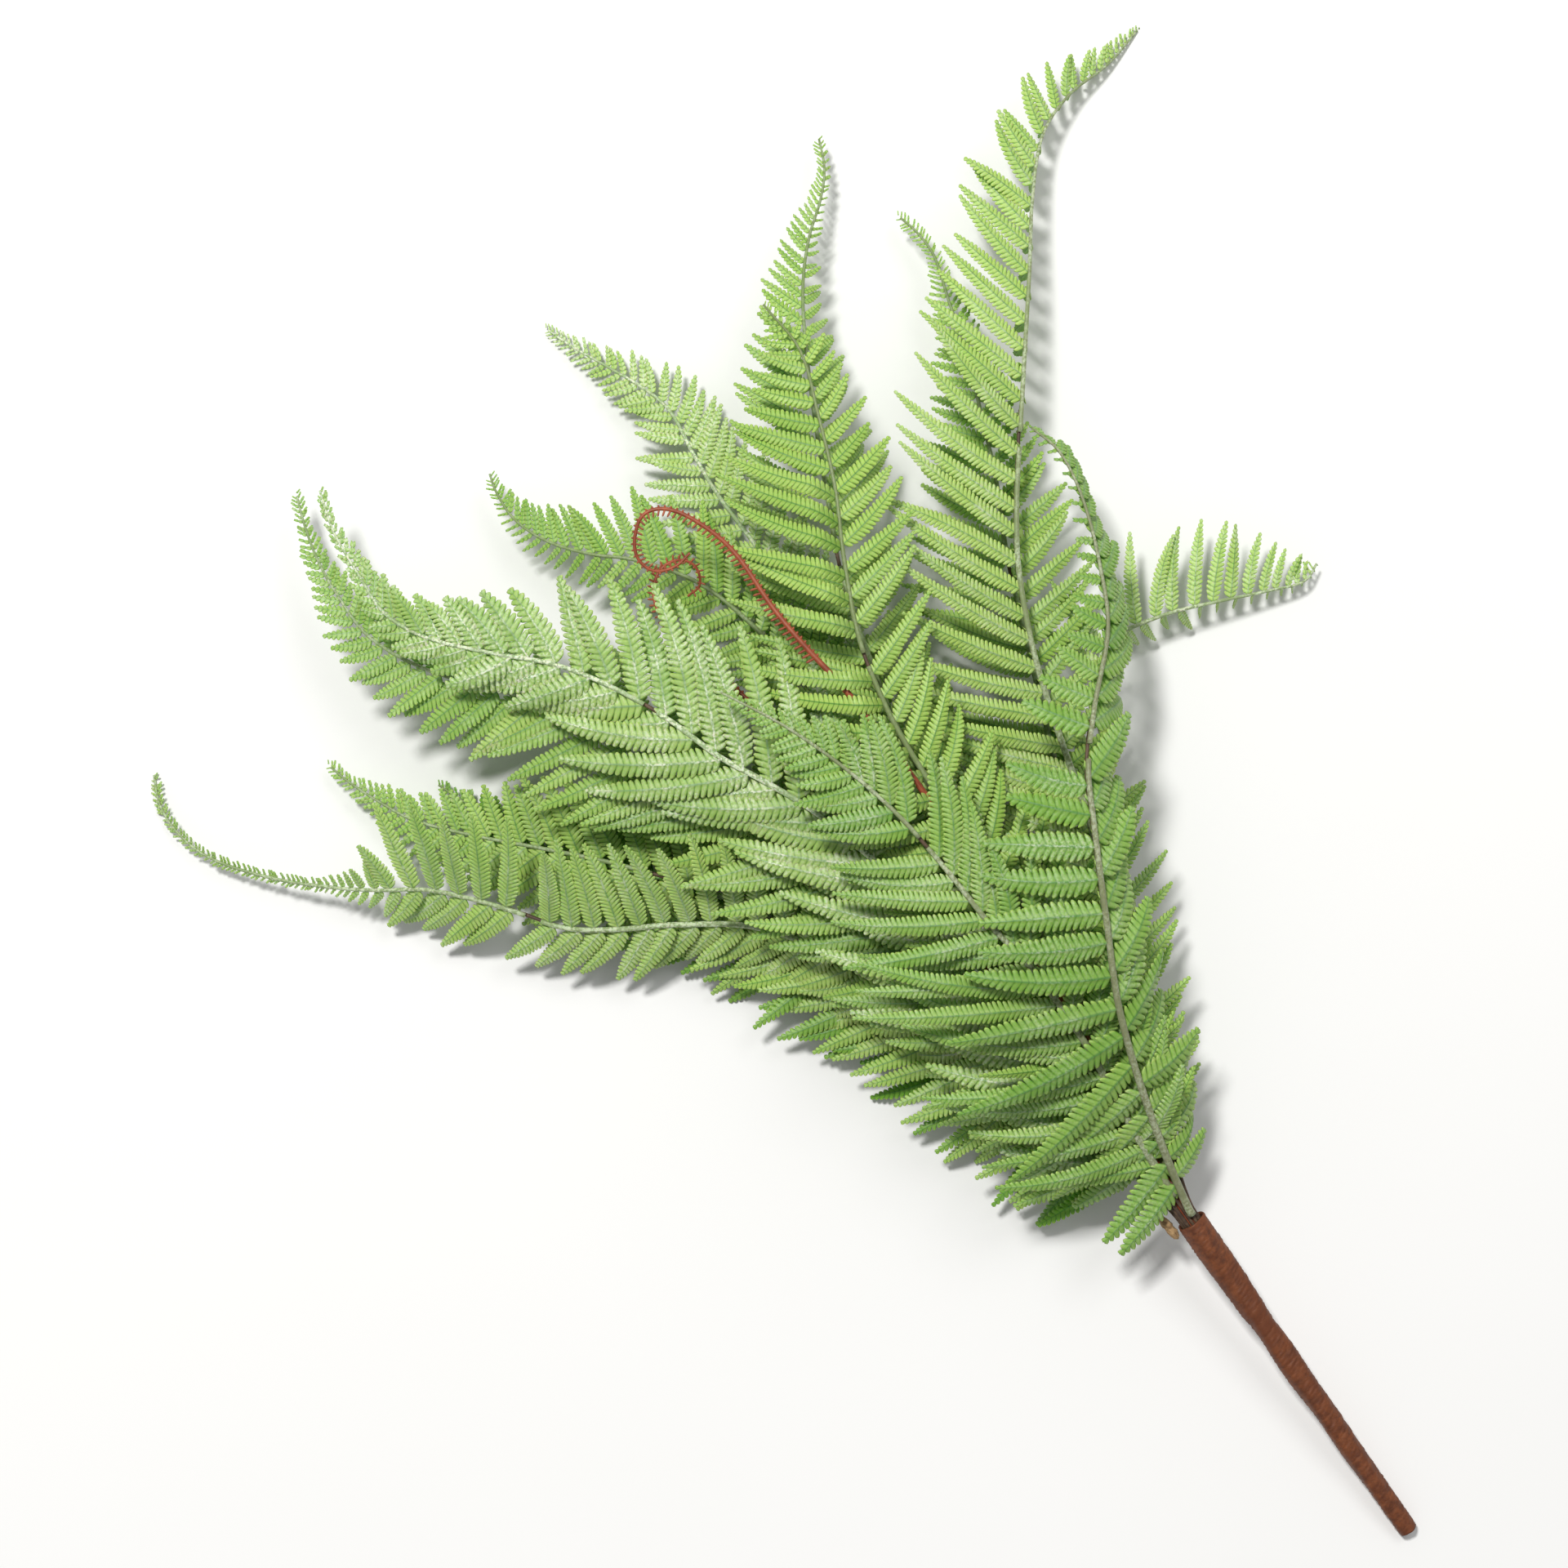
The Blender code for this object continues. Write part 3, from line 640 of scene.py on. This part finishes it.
fronds = [
    dict(name="frond_01_arch", seat=(1, 2), depth=28, cadStart=24, first=19, roll=(0, 34),
         reach=(63, 31), lean=(2, 40), rise=(-5, -18), droop=(22, 26), curl=12,
         pitch=11.6, wide=5.5, root=(0.2, 0.5), growRun=60, rootLean=-34, tail=(225, 120),
         power=(1.45, 0.6),
         frost=0.3, shade=0.22, brown=0.75,
         route=[(10, 48, 58), (20, 82, 75), (33, 110, 84), (47, 138, 87), (58, 158, 85),
                (73, 175, 79), (92, 194, 73), (103, 215, 68), (111, 236, 63), (114, 254, 59),
                (111, 267, 55)]),
    dict(name="frond_02_front", seat=(0, 2), depth=52, first=30,
         reach=(66, 40), lean=(26, 42), rise=(2, 10), droop=(22, 14), curl=14,
         pitch=8.2, wide=4.0, root=(0.7, 0.8), rootLean=-14, tail=(150, 85), power=(1.15, 1.6),
         frost=0.4, shade=0.32, brown=0.6,
         route=[(1, 42, 50), (4, 79, 65), (3, 111, 74), (0, 130, 78), (-2, 156, 80), (-5, 181, 82),
                (-11, 205, 83), (-20, 229, 84), (-32, 252, 82)]),
    dict(name="frond_03_centre", seat=(1.5, 1), depth=60, first=34,
         reach=(48, 34), lean=(18, 26), rise=(0, 0), droop=(20, 20), curl=12, hump=(165, 300, 11),
         pitch=9.4, wide=3.4, root=(0.8, 0.8), tail=(85, 110), power=(0.95, 0.75),
         frost=0.1, shade=0.75, brown=0.45,
         route=[(6, 43, 43), (11, 85, 57), (13, 130, 64), (11, 163, 67), (11, 191, 69),
                (13, 214, 70), (19, 240, 70), (31, 267, 68), (42, 288, 65), (52, 313, 60),
                (60, 336, 53), (59, 357, 46)]),
    dict(name="frond_04_broad", seat=(-1, 2), depth=30, cadStart=72, first=34, roll=(0, -6),
         reach=(60, 56), lean=(44, 32), rise=(-4, 8), droop=(22, 22), curl=16,
         pitch=11.0, wide=5.2, root=(0.8, 0.8), rootLean=-10, tail=(185, 182), power=(1.4, 1.25),
         frost=0.9, shade=0.5, brown=0.0,
         route=[(-3, 43, 41), (-6, 76, 49), (-12, 119, 58), (-18, 161, 62), (-28, 198, 64),
                (-36, 216, 64), (-45, 234, 64), (-52, 254, 63), (-62, 275, 61), (-74, 293, 58),
                (-91, 310, 55), (-107, 328, 51), (-114, 343, 48), (-114, 361, 44), (-113, 378, 40),
                (-109, 393, 37)]),
    dict(name="frond_05_rear", seat=(1, 0), depth=138, first=40, roll=(0, 14),
         reach=(44, 40), lean=(26, 28), rise=(0, -20), droop=(16, 16), curl=12,
         pitch=8.6, wide=3.3, root=(0.7, 0.35), tail=(150, 160), power=(1.2, 1.5),
         frost=0.2, shade=0.7, brown=0.3,
         route=[(6, 43, 35), (9, 86, 45), (11, 131, 51), (10, 170, 55), (12, 204, 56),
                (19, 235, 55), (28, 264, 52), (40, 291, 48), (53, 318, 42), (67, 344, 35),
                (77, 359, 29), (88, 371, 23), (99, 380, 18), (107, 389, 14), (112, 400, 10)]),
    dict(name="frond_06_under_broad", seat=(-1.5, 1), depth=62, first=34, roll=(0, 20),
         reach=(46, 42), lean=(30, 30), rise=(-10, -6), droop=(20, 20), curl=10,
         pitch=9.0, wide=4.2, root=(0.8, 0.7), rootLean=-10, tail=(170, 170), power=(1.1, 1.1),
         frost=0.4, shade=0.5, brown=0.2,
         route=[(-6, 40, 34), (-12, 75, 40), (-20, 116, 45), (-29, 154, 48), (-40, 190, 49),
                (-52, 224, 49), (-67, 254, 47), (-83, 282, 44), (-99, 300, 41), (-115, 320, 37),
                (-125, 341, 32), (-126, 360, 29), (-125, 374, 26), (-122, 388, 22), (-118, 400, 19)]),
    dict(name="frond_07_long", seat=(2, 0), depth=28, first=44, roll=(8, 18),
         reach=(54, 24), lean=(27, 20), rise=(6, -72), droop=(16, 16), curl=10,
         pitch=9.6, wide=3.5, root=(0.7, 0.3), tail=(190, 150), power=(0.85, 1.0),
         frost=0.4, shade=1.0, brown=0.5,
         route=[(13, 36, 32), (25, 70, 36), (39, 108, 39), (51, 142, 41), (59, 172, 43),
                (68, 201, 44), (80, 228, 45), (92, 247, 45), (108, 268, 44), (126, 291, 41),
                (145, 315, 35), (162, 337, 28), (179, 354, 20), (196, 361, 13), (215, 363, 5),
                (233, 368, -0.4)]),
    dict(name="frond_08_dark", seat=(0, 0), depth=138, first=40, roll=(0, 10),
         reach=(26, 32), lean=(24, 26), rise=(-24, 10), droop=(18, 18), curl=10,
         pitch=7.6, wide=3.1, root=(0.8, 0.7), tail=(110, 90), power=(0.95, 0.95),
         frost=0.2, shade=0.5, brown=0.3,
         route=[(0, 48, 29), (-1, 96, 33), (-2, 146, 35), (-3, 197, 36), (-5, 241, 36),
                (-10, 271, 35), (-17, 291, 33), (-30, 309, 30), (-43, 321, 27), (-53, 334, 22),
                (-58, 347, 18), (-58, 359, 15), (-56, 367, 13)]),
    dict(name="frond_09_right_rear", seat=(1.5, -1), depth=58, first=40,
         reach=(42, 34), lean=(18, 24), rise=(0, 0), droop=(14, 14), curl=10,
         pitch=8.0, wide=3.3, root=(0.7, 0.3), tail=(150, 150), power=(1.4, 1.4),
         frost=0.2, shade=0.7, brown=0.3,
         route=[(12, 36, 26), (22, 72, 27), (34, 111, 29), (46, 145, 30), (59, 179, 31),
                (70, 207, 31), (81, 235, 31), (93, 259, 29), (102, 281, 27), (111, 304, 23),
                (117, 324, 19), (122, 340, 15), (122, 351, 12), (120, 360, 9)]),
    dict(name="frond_10_low_left", seat=(-2, 0), depth=26, first=28, roll=(0, -16),
         reach=(27, 39), lean=(30, 4), rise=(-22, 34), droop=(14, 14), curl=8,
         pitch=8.6, wide=3.9, root=(0.9, 0.9), rootLean=-20, tail=(122, 120), power=(6.0, 7.0),
         frost=0.5, shade=0.75, brown=0.25,
         route=[(-10, 35, 28), (-24, 68, 27), (-36, 108, 27), (-49, 146, 28), (-68, 175, 28),
                (-92, 193, 28), (-111, 204, 28), (-126, 215, 28), (-139, 232, 27), (-149, 244, 26),
                (-160, 255, 24), (-175, 265, 21), (-189, 276, 17), (-205, 291, 12), (-219, 309, 8),
                (-224, 323, 5), (-224, 336, 2), (-220, 346, -0.4)]),
    dict(name="frond_11_pale", seat=(0, -2), depth=50, first=40,
         reach=(30, 30), lean=(24, 28), rise=(0, 0), droop=(16, 16), curl=12,
         pitch=8.6, wide=3.1, root=(0.8, 0.8), tail=(110, 110), power=(0.95, 0.95),
         frost=1.0, shade=0.9, brown=0.0,
         route=[(3, 49, 24), (5, 94, 23), (7, 143, 23), (8, 192, 23), (8, 239, 23), (9, 282, 22),
                (8, 312, 20), (9, 329, 18), (11, 348, 14), (8, 360, 11), (1, 376, 7), (-5, 389, 4),
                (-9, 400, 1.5)]),
    dict(name="frond_12_left_under", seat=(-1.5, -1), depth=56, first=34,
         reach=(40, 38), lean=(28, 24), rise=(-4, 16), droop=(16, 16), curl=10,
         pitch=8.4, wide=3.9, root=(0.9, 0.8), rootLean=-20, tail=(120, 120), power=(1.1, 1.1),
         frost=0.3, shade=0.7, brown=0.3,
         route=[(-11, 37, 22), (-23, 74, 20), (-38, 120, 19), (-54, 160, 20), (-74, 193, 20),
                (-97, 222, 19), (-118, 244, 17), (-135, 261, 15), (-150, 278, 12), (-156, 289, 10),
                (-162, 303, 8), (-165, 313, 6)]),
    dict(name="frond_13_side", seat=(1, -2), depth=27, first=44, roll=(0, -6),
         reach=(31, 16), lean=(8, 26), rise=(14, -70), droop=(8, 8), curl=14,
         pitch=8.4, wide=2.8, root=(0.6, 0.3), tail=(48, 60), power=(0.8, 0.8),
         frost=0.6, shade=1.0, brown=0.3,
         route=[(15, 34, 20), (28, 67, 18), (44, 103, 18), (60, 136, 19), (73, 162, 20),
                (84, 180, 20), (94, 189, 20), (104, 188, 20), (120, 184, 19), (138, 177, 16),
                (155, 170, 12), (167, 166, 9), (175, 169, 7)]),
    dict(name="frond_14_lowest", seat=(-1, -2), depth=24, first=32,
         reach=(42, 36), lean=(24, 26), rise=(0, 6), droop=(12, 12), curl=10,
         pitch=9.0, wide=4.2, root=(0.9, 0.7), rootLean=-20, tail=(110, 110), power=(1.0, 1.0),
         frost=0.1, shade=0.15, brown=0.3,
         route=[(-9, 37, 17), (-22, 75, 14), (-39, 123, 13), (-57, 165, 12), (-76, 200, 11),
                (-95, 226, 10), (-112, 243, 8), (-124, 258, 7), (-131, 272, 5), (-136, 284, 4)]),
]

frondForm = {
    "split": 0.56,  # share of the frond where the first moulding ends, and the gap after it
    "gap": 4.5,
    "shortest": 3.2,  # leaflet length beside the tip, shrinking over the last tipFade
    "tipFade": 9,
    "leastPitch": 1.9,
    "pitchPower": 0.62,  # short leaflets stand closer, below fullLength
    "fullLength": 40.0,
    "widthPower": 0.85,  # and are narrower, below fullWidthLength
    "fullWidthLength": 27.0,
    "fullDroopLength": 30,
    "stagger": (-0.6, 1.6),  # the right side's leaflets stand farther along than the left side's
    "tipLean": 10,  # more lean toward the tip, in degrees
    "rootLeanEnd": 105,  # rootLean counts in full until rootLeanFade before this
    "rootLeanFade": 45,
    "barStart": 1.5,  # no rib starts nearer to the mouth than this
    "barRoot": 1.5,  # radius of the rib at both ends
    "barTip": 0.42,
    "barPower": 1.3,
    "barLift": 1.5,  # the rib lies this far over its wire
    "rootSink": 0.55,  # leaflets start this far out, as a share of the rib's radius
    "bareRoot": 16,  # bare rib before the first leaflets, after the last pair and the last leaflet
    "bareTip": 1.0,
    "lastTip": 0.4,
    "ribStep": 2.0,
    "ribSides": 10,
    "wireRadius": 0.7,
    "wirePast": 14,  # the wire ends this far past the split
    "wireStep": 2.5,
    "wireSides": 8,
}
unevenness = {
    "shift": 0.35,
    "length": 0.045,
    "lean": 4.0,
    "rise": 5.0,
    "droop": 6,
    "curl": 6,
    "twist": 10,
    "tone": 0.08,
    "root": 1.7,  # angles vary more near the stem, and settle over settleShare of the frond
    "settle": 0.9,
    "settleShare": 0.6,
}


def reachAt(run, end, frond, k):
    # leaflet length: shorter near the stem, a long taper, then single lobes at the tip
    root = frond["root"][k]
    grow = between(root, 1, min(1.0, max(0.0, run) / frond["growRun"]))
    fall = min(1.0, max(0.0, end - run) / frond["tail"][k]) ** frond["power"][k]
    least = frondForm["shortest"] * min(1.0, 0.35 + (end - run) / frondForm["tipFade"])
    return max(least, frond["reach"][k] * grow * fall)


def leafletRuns(frond, end):
    runs, run = [], float(frond["first"])
    while run < end - frondForm["bareTip"]:
        runs.append(run)
        tallest = max(reachAt(run, end, frond, k) for k in (0, 1))
        crowd = min(1.0, tallest / frondForm["fullLength"]) ** frondForm["pitchPower"]
        run += max(frondForm["leastPitch"], frond["pitch"] * crowd)
    return runs


def leafletLook(frond, run, share, k, length):
    # how one leaflet stands and its tone; the draws keep this order
    wild = unevenness["root"] - unevenness["settle"] * min(1.0, share / unevenness["settleShare"])
    nearRoot = float(np.clip((frondForm["rootLeanEnd"] - run) / frondForm["rootLeanFade"], 0, 1))
    lean = frond["lean"][k] + frondForm["tipLean"] * share + frond["rootLean"] * nearRoot
    humpFrom, humpTo, humpHeight = frond["hump"]
    tone = lambda middle: float(np.clip(middle + draw.normal(0, unevenness["tone"]), 0, 1))
    return dict(
        jitter=draw.uniform(0, 6),
        lean=lean + draw.normal(0, unevenness["lean"]) * wild,
        rise=frond["rise"][k] + draw.normal(0, unevenness["rise"]) * wild,
        droop=(frond["droop"][k] * min(1, length / frondForm["fullDroopLength"])
               + draw.normal(0, unevenness["droop"]) * wild),
        hump=humpHeight * (k == 0 and humpFrom < run < humpTo),
        curl=draw.normal(frond["curl"], unevenness["curl"]),
        twist=draw.normal(0, unevenness["twist"]),
        shade=tone(frond["shade"]),
        frost=tone(frond["frost"]))


def ribRadius(share):
    thinned = np.clip(share, 0, 1) ** frondForm["barPower"]
    return between(frondForm["barRoot"], frondForm["barTip"], thinned)


def buildMoulding(frond, way, part, runs, low, high):
    # leaflets in pairs along a rib, which is the last chart
    end = way.runs[-1]
    heap = Heap()
    charts = len(runs) * 4 + 1
    chart = 0
    for run in runs:
        for k, side in enumerate((-1, 1)):
            shift = run + frondForm["stagger"][k] + draw.normal(0, unevenness["shift"])
            shift = min(max(shift, low), end - frondForm["lastTip"])
            length = reachAt(run, end, frond, k) * (1 + draw.normal(0, unevenness["length"]))
            narrow = min(1.0, length / frondForm["fullWidthLength"]) ** frondForm["widthPower"]
            look = leafletLook(frond, run, run / end, k, length)
            outward = way.at(shift, way.right) * side * ribRadius(shift / end)
            root = (way.at(shift, way.points) + way.at(shift, way.up) * frondForm["barLift"]
                    + outward * frondForm["rootSink"])
            wide = frond["wide"] * narrow
            addLeaflet(heap, chart, charts, root, way, shift, side, length, wide, look)
            chart += 1
    runs = np.arange(low, high + 0.01, frondForm["ribStep"])
    path = way.at(runs, way.points) + way.at(runs, way.up) * frondForm["barLift"]
    addBar(heap, charts - 1, charts, path, way.at(runs, way.ahead), way.at(runs, way.up),
           ribRadius(runs / end), frondForm["ribSides"], lobeOut=0.5, lobeSide=0.0, under=0.0,
           shade=frond["shade"], frost=frond["frost"], ribLine=frond["brown"], isBar=1.0)
    makePiece(f"{frond['name']}_{part}_foliage", heap, leafPlastic,
              f"{frond['name']}_{part}")


def buildFrond(frond):
    way = Way(frond, frond["roll"])
    end = way.runs[-1]
    split = frond["cadStart"] + (end - frond["cadStart"]) * frondForm["split"]
    places = leafletRuns(frond, end)
    start = max(frondForm["barStart"], frond["first"] - frondForm["bareRoot"])
    for part, low, high in (("leaf", start, split), ("tip", split + frondForm["gap"], end)):
        buildMoulding(frond, way, part, [r for r in places if low < r <= high], low, high)
    heap = Heap()
    runs = np.arange(-way.start, split + frondForm["wirePast"], frondForm["wireStep"])
    addWire(heap, way, runs, np.full(len(runs), frondForm["wireRadius"]), frondForm["wireSides"])
    name = frond["name"]
    makePiece(name + "_stalk_wire", heap, coatedWire, name + "_wire")


for frond in fronds:
    buildFrond({**commonFrond, **frond})
print("fronds made", len(fronds))

# Curled young fronds: radius of the stalk and of its end, where stubs start and their length
croziers = [
    dict(name="crozier_01", seat=(0.5, 1), depth=138, radius=(1.15, 0.5), stubsFrom=250, stub=3.3,
         route=[(2, 39, 46), (6, 85, 60), (7, 134, 70), (7, 180, 75), (5, 223, 77), (1, 253, 77),
                (0, 267, 76), (0, 288, 75), (-3, 301, 75), (-10, 314, 75), (-18, 318, 75),
                (-25, 314, 74), (-29, 307, 73), (-27, 300, 72), (-20, 297, 71), (-13, 298, 70)]),
    dict(name="crozier_02", seat=(-0.5, 1), depth=138, radius=(1.0, 0.45), stubsFrom=235, stub=2.6,
         route=[(-4, 38, 38), (-7, 78, 46), (-10, 125, 54), (-14, 172, 59), (-19, 216, 60),
                (-24, 239, 59), (-27, 252, 58), (-29, 264, 57), (-33, 279, 56), (-33, 291, 55),
                (-27, 299, 54), (-19, 300, 53), (-14, 295, 52), (-16, 288, 51), (-22, 287, 50)]),
]
crozierForm = {
    "sides": 12,
    "stubSides": 7,
    "step": 1.5,
    "bareTip": 1.0,
    "stubSink": 0.6,  # stubs start at the stalk's middle, so they are this much longer
    "evenShare": 0.6,  # the stalk keeps its full radius over this share of its length
    "stubPitch": 2.1,
    "outerStub": 0.35,  # stubs on the outside have this share of the length
    "shorten": 0.45,  # all of them lose these shares of their length and radius toward the end
    "thin": 0.3,
    "lean": 0.25,
}
stubAlong = np.array((0.0, 0.3, 0.7, 0.9, 1.0))
stubRadii = np.array((0.5, 0.46, 0.5, 0.36, 0.08))


def buildCrozier(crozier):
    way = Way(crozier)
    end = way.runs[-1]
    heap = Heap()
    full, last = crozier["radius"]
    runs = np.append(np.arange(-way.start, end, crozierForm["step"]), end)
    stubs = np.arange(crozier["stubsFrom"], end - crozierForm["bareTip"], crozierForm["stubPitch"])
    charts = len(stubs) * 2 + 1
    radii = np.interp(runs, (0, end * crozierForm["evenShare"], end), (full, full, last))
    addWire(heap, way, runs, radii, crozierForm["sides"], 0, charts)
    chart = 1
    for run in stubs:
        share = (run - crozier["stubsFrom"]) / (end - crozier["stubsFrom"])
        for side in (-1, 1):  # the curl's inside is on its left
            length = (crozier["stub"] * (1.0 - crozierForm["shorten"] * share)
                      * (1 if side < 0 else crozierForm["outerStub"]))
            leaning = (way.at(run, way.ahead) + way.at(run, way.up)) * crozierForm["lean"]
            out = unit(way.at(run, way.right) * side + leaning)
            along = stubAlong * (length + crozierForm["stubSink"])
            path = way.at(run, way.points) + out * along[:, None]
            ahead = np.repeat(out[None], len(stubAlong), 0)
            up = unit(np.cross(np.cross(ahead, way.at(run, way.up)), ahead))
            radii = stubRadii * (1 - crozierForm["thin"] * share)
            addBar(heap, chart, charts, path, ahead, up, radii, crozierForm["stubSides"])
            chart += 1
    makePiece(crozier["name"] + "_curl", heap, youngRed, crozier["name"])


for crozier in croziers:
    buildCrozier(crozier)
print("young fronds made")

tape = {
    "wall": 0.6,
    "sides": 72,
    "rings": 300,
    "windPitch": 4.6,
    "windWaver": (0.35, 11),  # turns wander by this share of the pitch, over this length
    "windStep": 0.07,
    # height, place as a share of the stem from its cut end, spread
    "bulges": ((-0.35, 0.66, 0.05), (0.2, 0.72, 0.02), (0.5, 0.93, 0.09)),
    "threeFlats": (0.20, 0.5, 17),  # height, how far they wander round the stem, over what length
    "fiveFlats": (0.13, 31),  # height, and the length over which they turn
    "wrinkles": (26, (0.3, 2.4), (1, 9), 0.12 / 5),  # how many waves, along, around, height of each
    "lumps": (7, (0.03, 0.12), (1, 4), 0.30 / 4),
}


def tapeRadius(v, run, turn):
    # radius at each ring and side, and how far each point is across its turn of tape
    radius = between(stem["endRadius"], stem["mouthRadius"], v)
    for height, place, spread in tape["bulges"]:
        radius = radius + height * np.exp(-((v - place) / spread) ** 2)
    waver, waverLength = tape["windWaver"]
    wind = run / tape["windPitch"] + waver * np.sin(run / waverLength) + turn / (2 * np.pi)
    wind = np.mod(wind, 1.0)
    grid = radius + tape["windStep"] * (wind - 0.5)
    threeHeight, wander, wanderLength = tape["threeFlats"]
    fiveHeight, turnLength = tape["fiveFlats"]
    flats = np.cos(3 * turn + wander * np.sin(run / wanderLength)) * threeHeight
    flats = flats + np.cos(5 * turn + run / turnLength) * fiveHeight
    grid = grid + flats * (0.5 + 0.5 * v)  # they fade to half toward the cut end
    for waves, along, around, height in (tape["wrinkles"], tape["lumps"]):
        for wave in range(waves):
            a, b, c = draw.uniform(*along), draw.integers(*around), draw.uniform(0, 6.3)
            grid = grid + height * np.sin(run * a * 2 + b * turn + c)
    return grid, wind


def buildTape():
    # an outer and an inner skin, joined at both ends
    n, sides = tape["rings"], tape["sides"]
    v = np.linspace(0, 1, n)[:, None]
    turns = np.linspace(0, 2 * np.pi, sides, endpoint=False)
    length = np.linalg.norm(stem["mouth"] - stem["end"])
    axis = between(stem["end"], stem["mouth"], v)[:, None]
    radius, wind = tapeRadius(v, v * length, turns[None, :])
    ring = (np.cos(turns)[:, None] * stemSide + np.sin(turns)[:, None] * stemUp)[None]
    outer = axis + ring * radius[:, :, None]
    inner = axis + ring * (radius - tape["wall"])[:, :, None]
    skins = 2 * n
    k = np.arange(sides)
    after = (k + 1) % sides
    quads = []
    for i in range(skins):
        here, there = i * sides, (i + 1) % skins * sides
        quads.append(np.stack([here + k, here + after, there + after, there + k], axis=1))
    uv = np.stack([np.repeat(np.linspace(0.01, 0.99, skins), sides),
                   np.tile(np.abs(np.linspace(-1, 1, sides)), skins)], axis=1)
    heap = Heap()
    heap.add(np.vstack([outer.reshape(-1, 3), inner[::-1].reshape(-1, 3)]), np.vstack(quads), uv,
             windAlong=np.concatenate([wind.ravel(), wind[::-1].ravel()]))
    makePiece("stem_tape_winding", heap, paperTape, "stem_tape")


buildTape()

shortWires = [
    dict(name="cut_sub_stem", seat=(-1, 0), depth=138, radius=0.9,
         route=[(-2.1, 10, 30.4), (-2.8, 14, 30.5)]),
    dict(name="tape_fibre", seat=(-0.5, -1), depth=30, radius=0.28,
         route=[(-1.6, 10, 28.0), (-4.0, 20, 29.6), (-8.5, 28, 31.0)]),
]
for wire in shortWires:
    way = Way(wire)
    runs = np.append(np.arange(-way.start, way.runs[-1], 2.0), way.runs[-1])
    heap = Heap()
    addWire(heap, way, runs, np.full(len(runs), wire["radius"]), 10)
    makePiece(wire["name"] + "_strand", heap, coatedWire, wire["name"])

bud = {
    "centre": np.array((-7.8, 2.5, 29.0)),
    "half": np.array((1.9, 5.4, 2.1)),
    "strands": 13,
    "strandRadius": 0.62,
    "packing": 0.62,  # strands' middles lie at this share of the half width
    "twist": 0.5,
    "ragged": 0.12,
}


def buildBud():
    # a torn knot of tape fibre: strands laid side by side round a spindle
    heap = Heap()
    t = np.linspace(-1, 1, 12)
    across, along, deep = bud["half"]
    radii = bud["strandRadius"] * (0.35 + 0.65 * np.sqrt(np.clip(1 - t**4, 0, 1)))
    for i in range(bud["strands"]):
        turn = 2 * np.pi * i / bud["strands"] + bud["twist"] * t
        ragged = 1 + bud["ragged"] * draw.normal(size=len(t)) * (np.abs(t) < 0.9)
        swell = np.sqrt(np.clip(1 - t**2, 0, 1)) * ragged * bud["packing"]
        reach = draw.uniform(0.86, 1.0)
        path = np.stack([np.cos(turn) * swell * across - bud["twist"] * t, t * along * reach,
                         np.sin(turn) * swell * deep], axis=1) + bud["centre"]
        ahead = unit(np.gradient(path, axis=0))
        up = unit(np.cross(np.cross(ahead, (0, 0, 1)), ahead))
        addBar(heap, i, bud["strands"], path, ahead, up, radii, 8)
    makePiece("torn_bud_fibres", heap, tornFibre, "torn_bud")


buildBud()
print("stem made")

floorLook = {
    "half": 4.0,
    "drop": 0.0003,  # keeps the floor clear of what rests on it
    "colours": ((0.88, 0.88, 0.87, 1), (0.90, 0.90, 0.895, 1)),
}
floorMesh = bmesh.new()
bmesh.ops.create_grid(floorMesh, x_segments=4, y_segments=4, size=floorLook["half"])
floorData = bpy.data.meshes.new("paleFloor")
floorMesh.to_mesh(floorData)
floorMesh.free()
floorMaterial, floorTree, floorShader = startMaterial("paleFloor", 0.6)
floorTone = mixColour(floorTree, noise(floorTree, 6.0, 2.0), *floorLook["colours"])
floorTree.links.new(floorTone, floorShader.inputs["Base Color"])
floorData.materials.append(floorMaterial)
floor = bpy.data.objects.new("paleFloor", floorData)
floor.location = (0, 0, -floorLook["drop"])
scene.collection.objects.link(floor)

view = {
    "centre": (-0.03114, 0.08345),
    "height": 1.499,
    "turn": -34.5,
    "lens": 93.75,
    "sensor": 36,
    "farthest": 20,
}
camera = bpy.data.objects.new("camera", bpy.data.cameras.new("camera"))
camera.data.lens = view["lens"]
camera.data.sensor_width = view["sensor"]
camera.data.clip_end = view["farthest"]
camera.location = (*view["centre"], view["height"])
camera.rotation_euler = (0, 0, math.radians(view["turn"]))
scene.collection.objects.link(camera)
scene.camera = camera

# Two soft boxes aimed at the middle of the spray, and a white room
softBoxes = {
    "keyLight": dict(place=(0.02, 1.5, 3.2), size=0.45, power=96, colour=(1.0, 0.99, 0.97)),
    "sideLight": dict(place=(1.8, 0.65, 3.0), size=1.3, power=20, colour=(1.0, 1.0, 1.0)),
}
aimPoint = Vector((0, 0.05, 0))
roomLight = 0.31

for name, box in softBoxes.items():
    light = bpy.data.lights.new(name, "AREA")
    light.shape = "SQUARE"
    light.size = box["size"]
    light.energy = box["power"]
    light.color = box["colour"]
    lamp = bpy.data.objects.new(name, light)
    lamp.location = box["place"]
    lamp.rotation_euler = (aimPoint - lamp.location).to_track_quat("-Z", "Y").to_euler()
    scene.collection.objects.link(lamp)

world = bpy.data.worlds.new("studio")
world.use_nodes = True
background = world.node_tree.nodes["Background"]
background.inputs["Color"].default_value = (1.0, 1.0, 1.0, 1)
background.inputs["Strength"].default_value = roomLight
scene.world = world
scene.view_settings.view_transform = "Standard"
print("stage, camera and lights set")
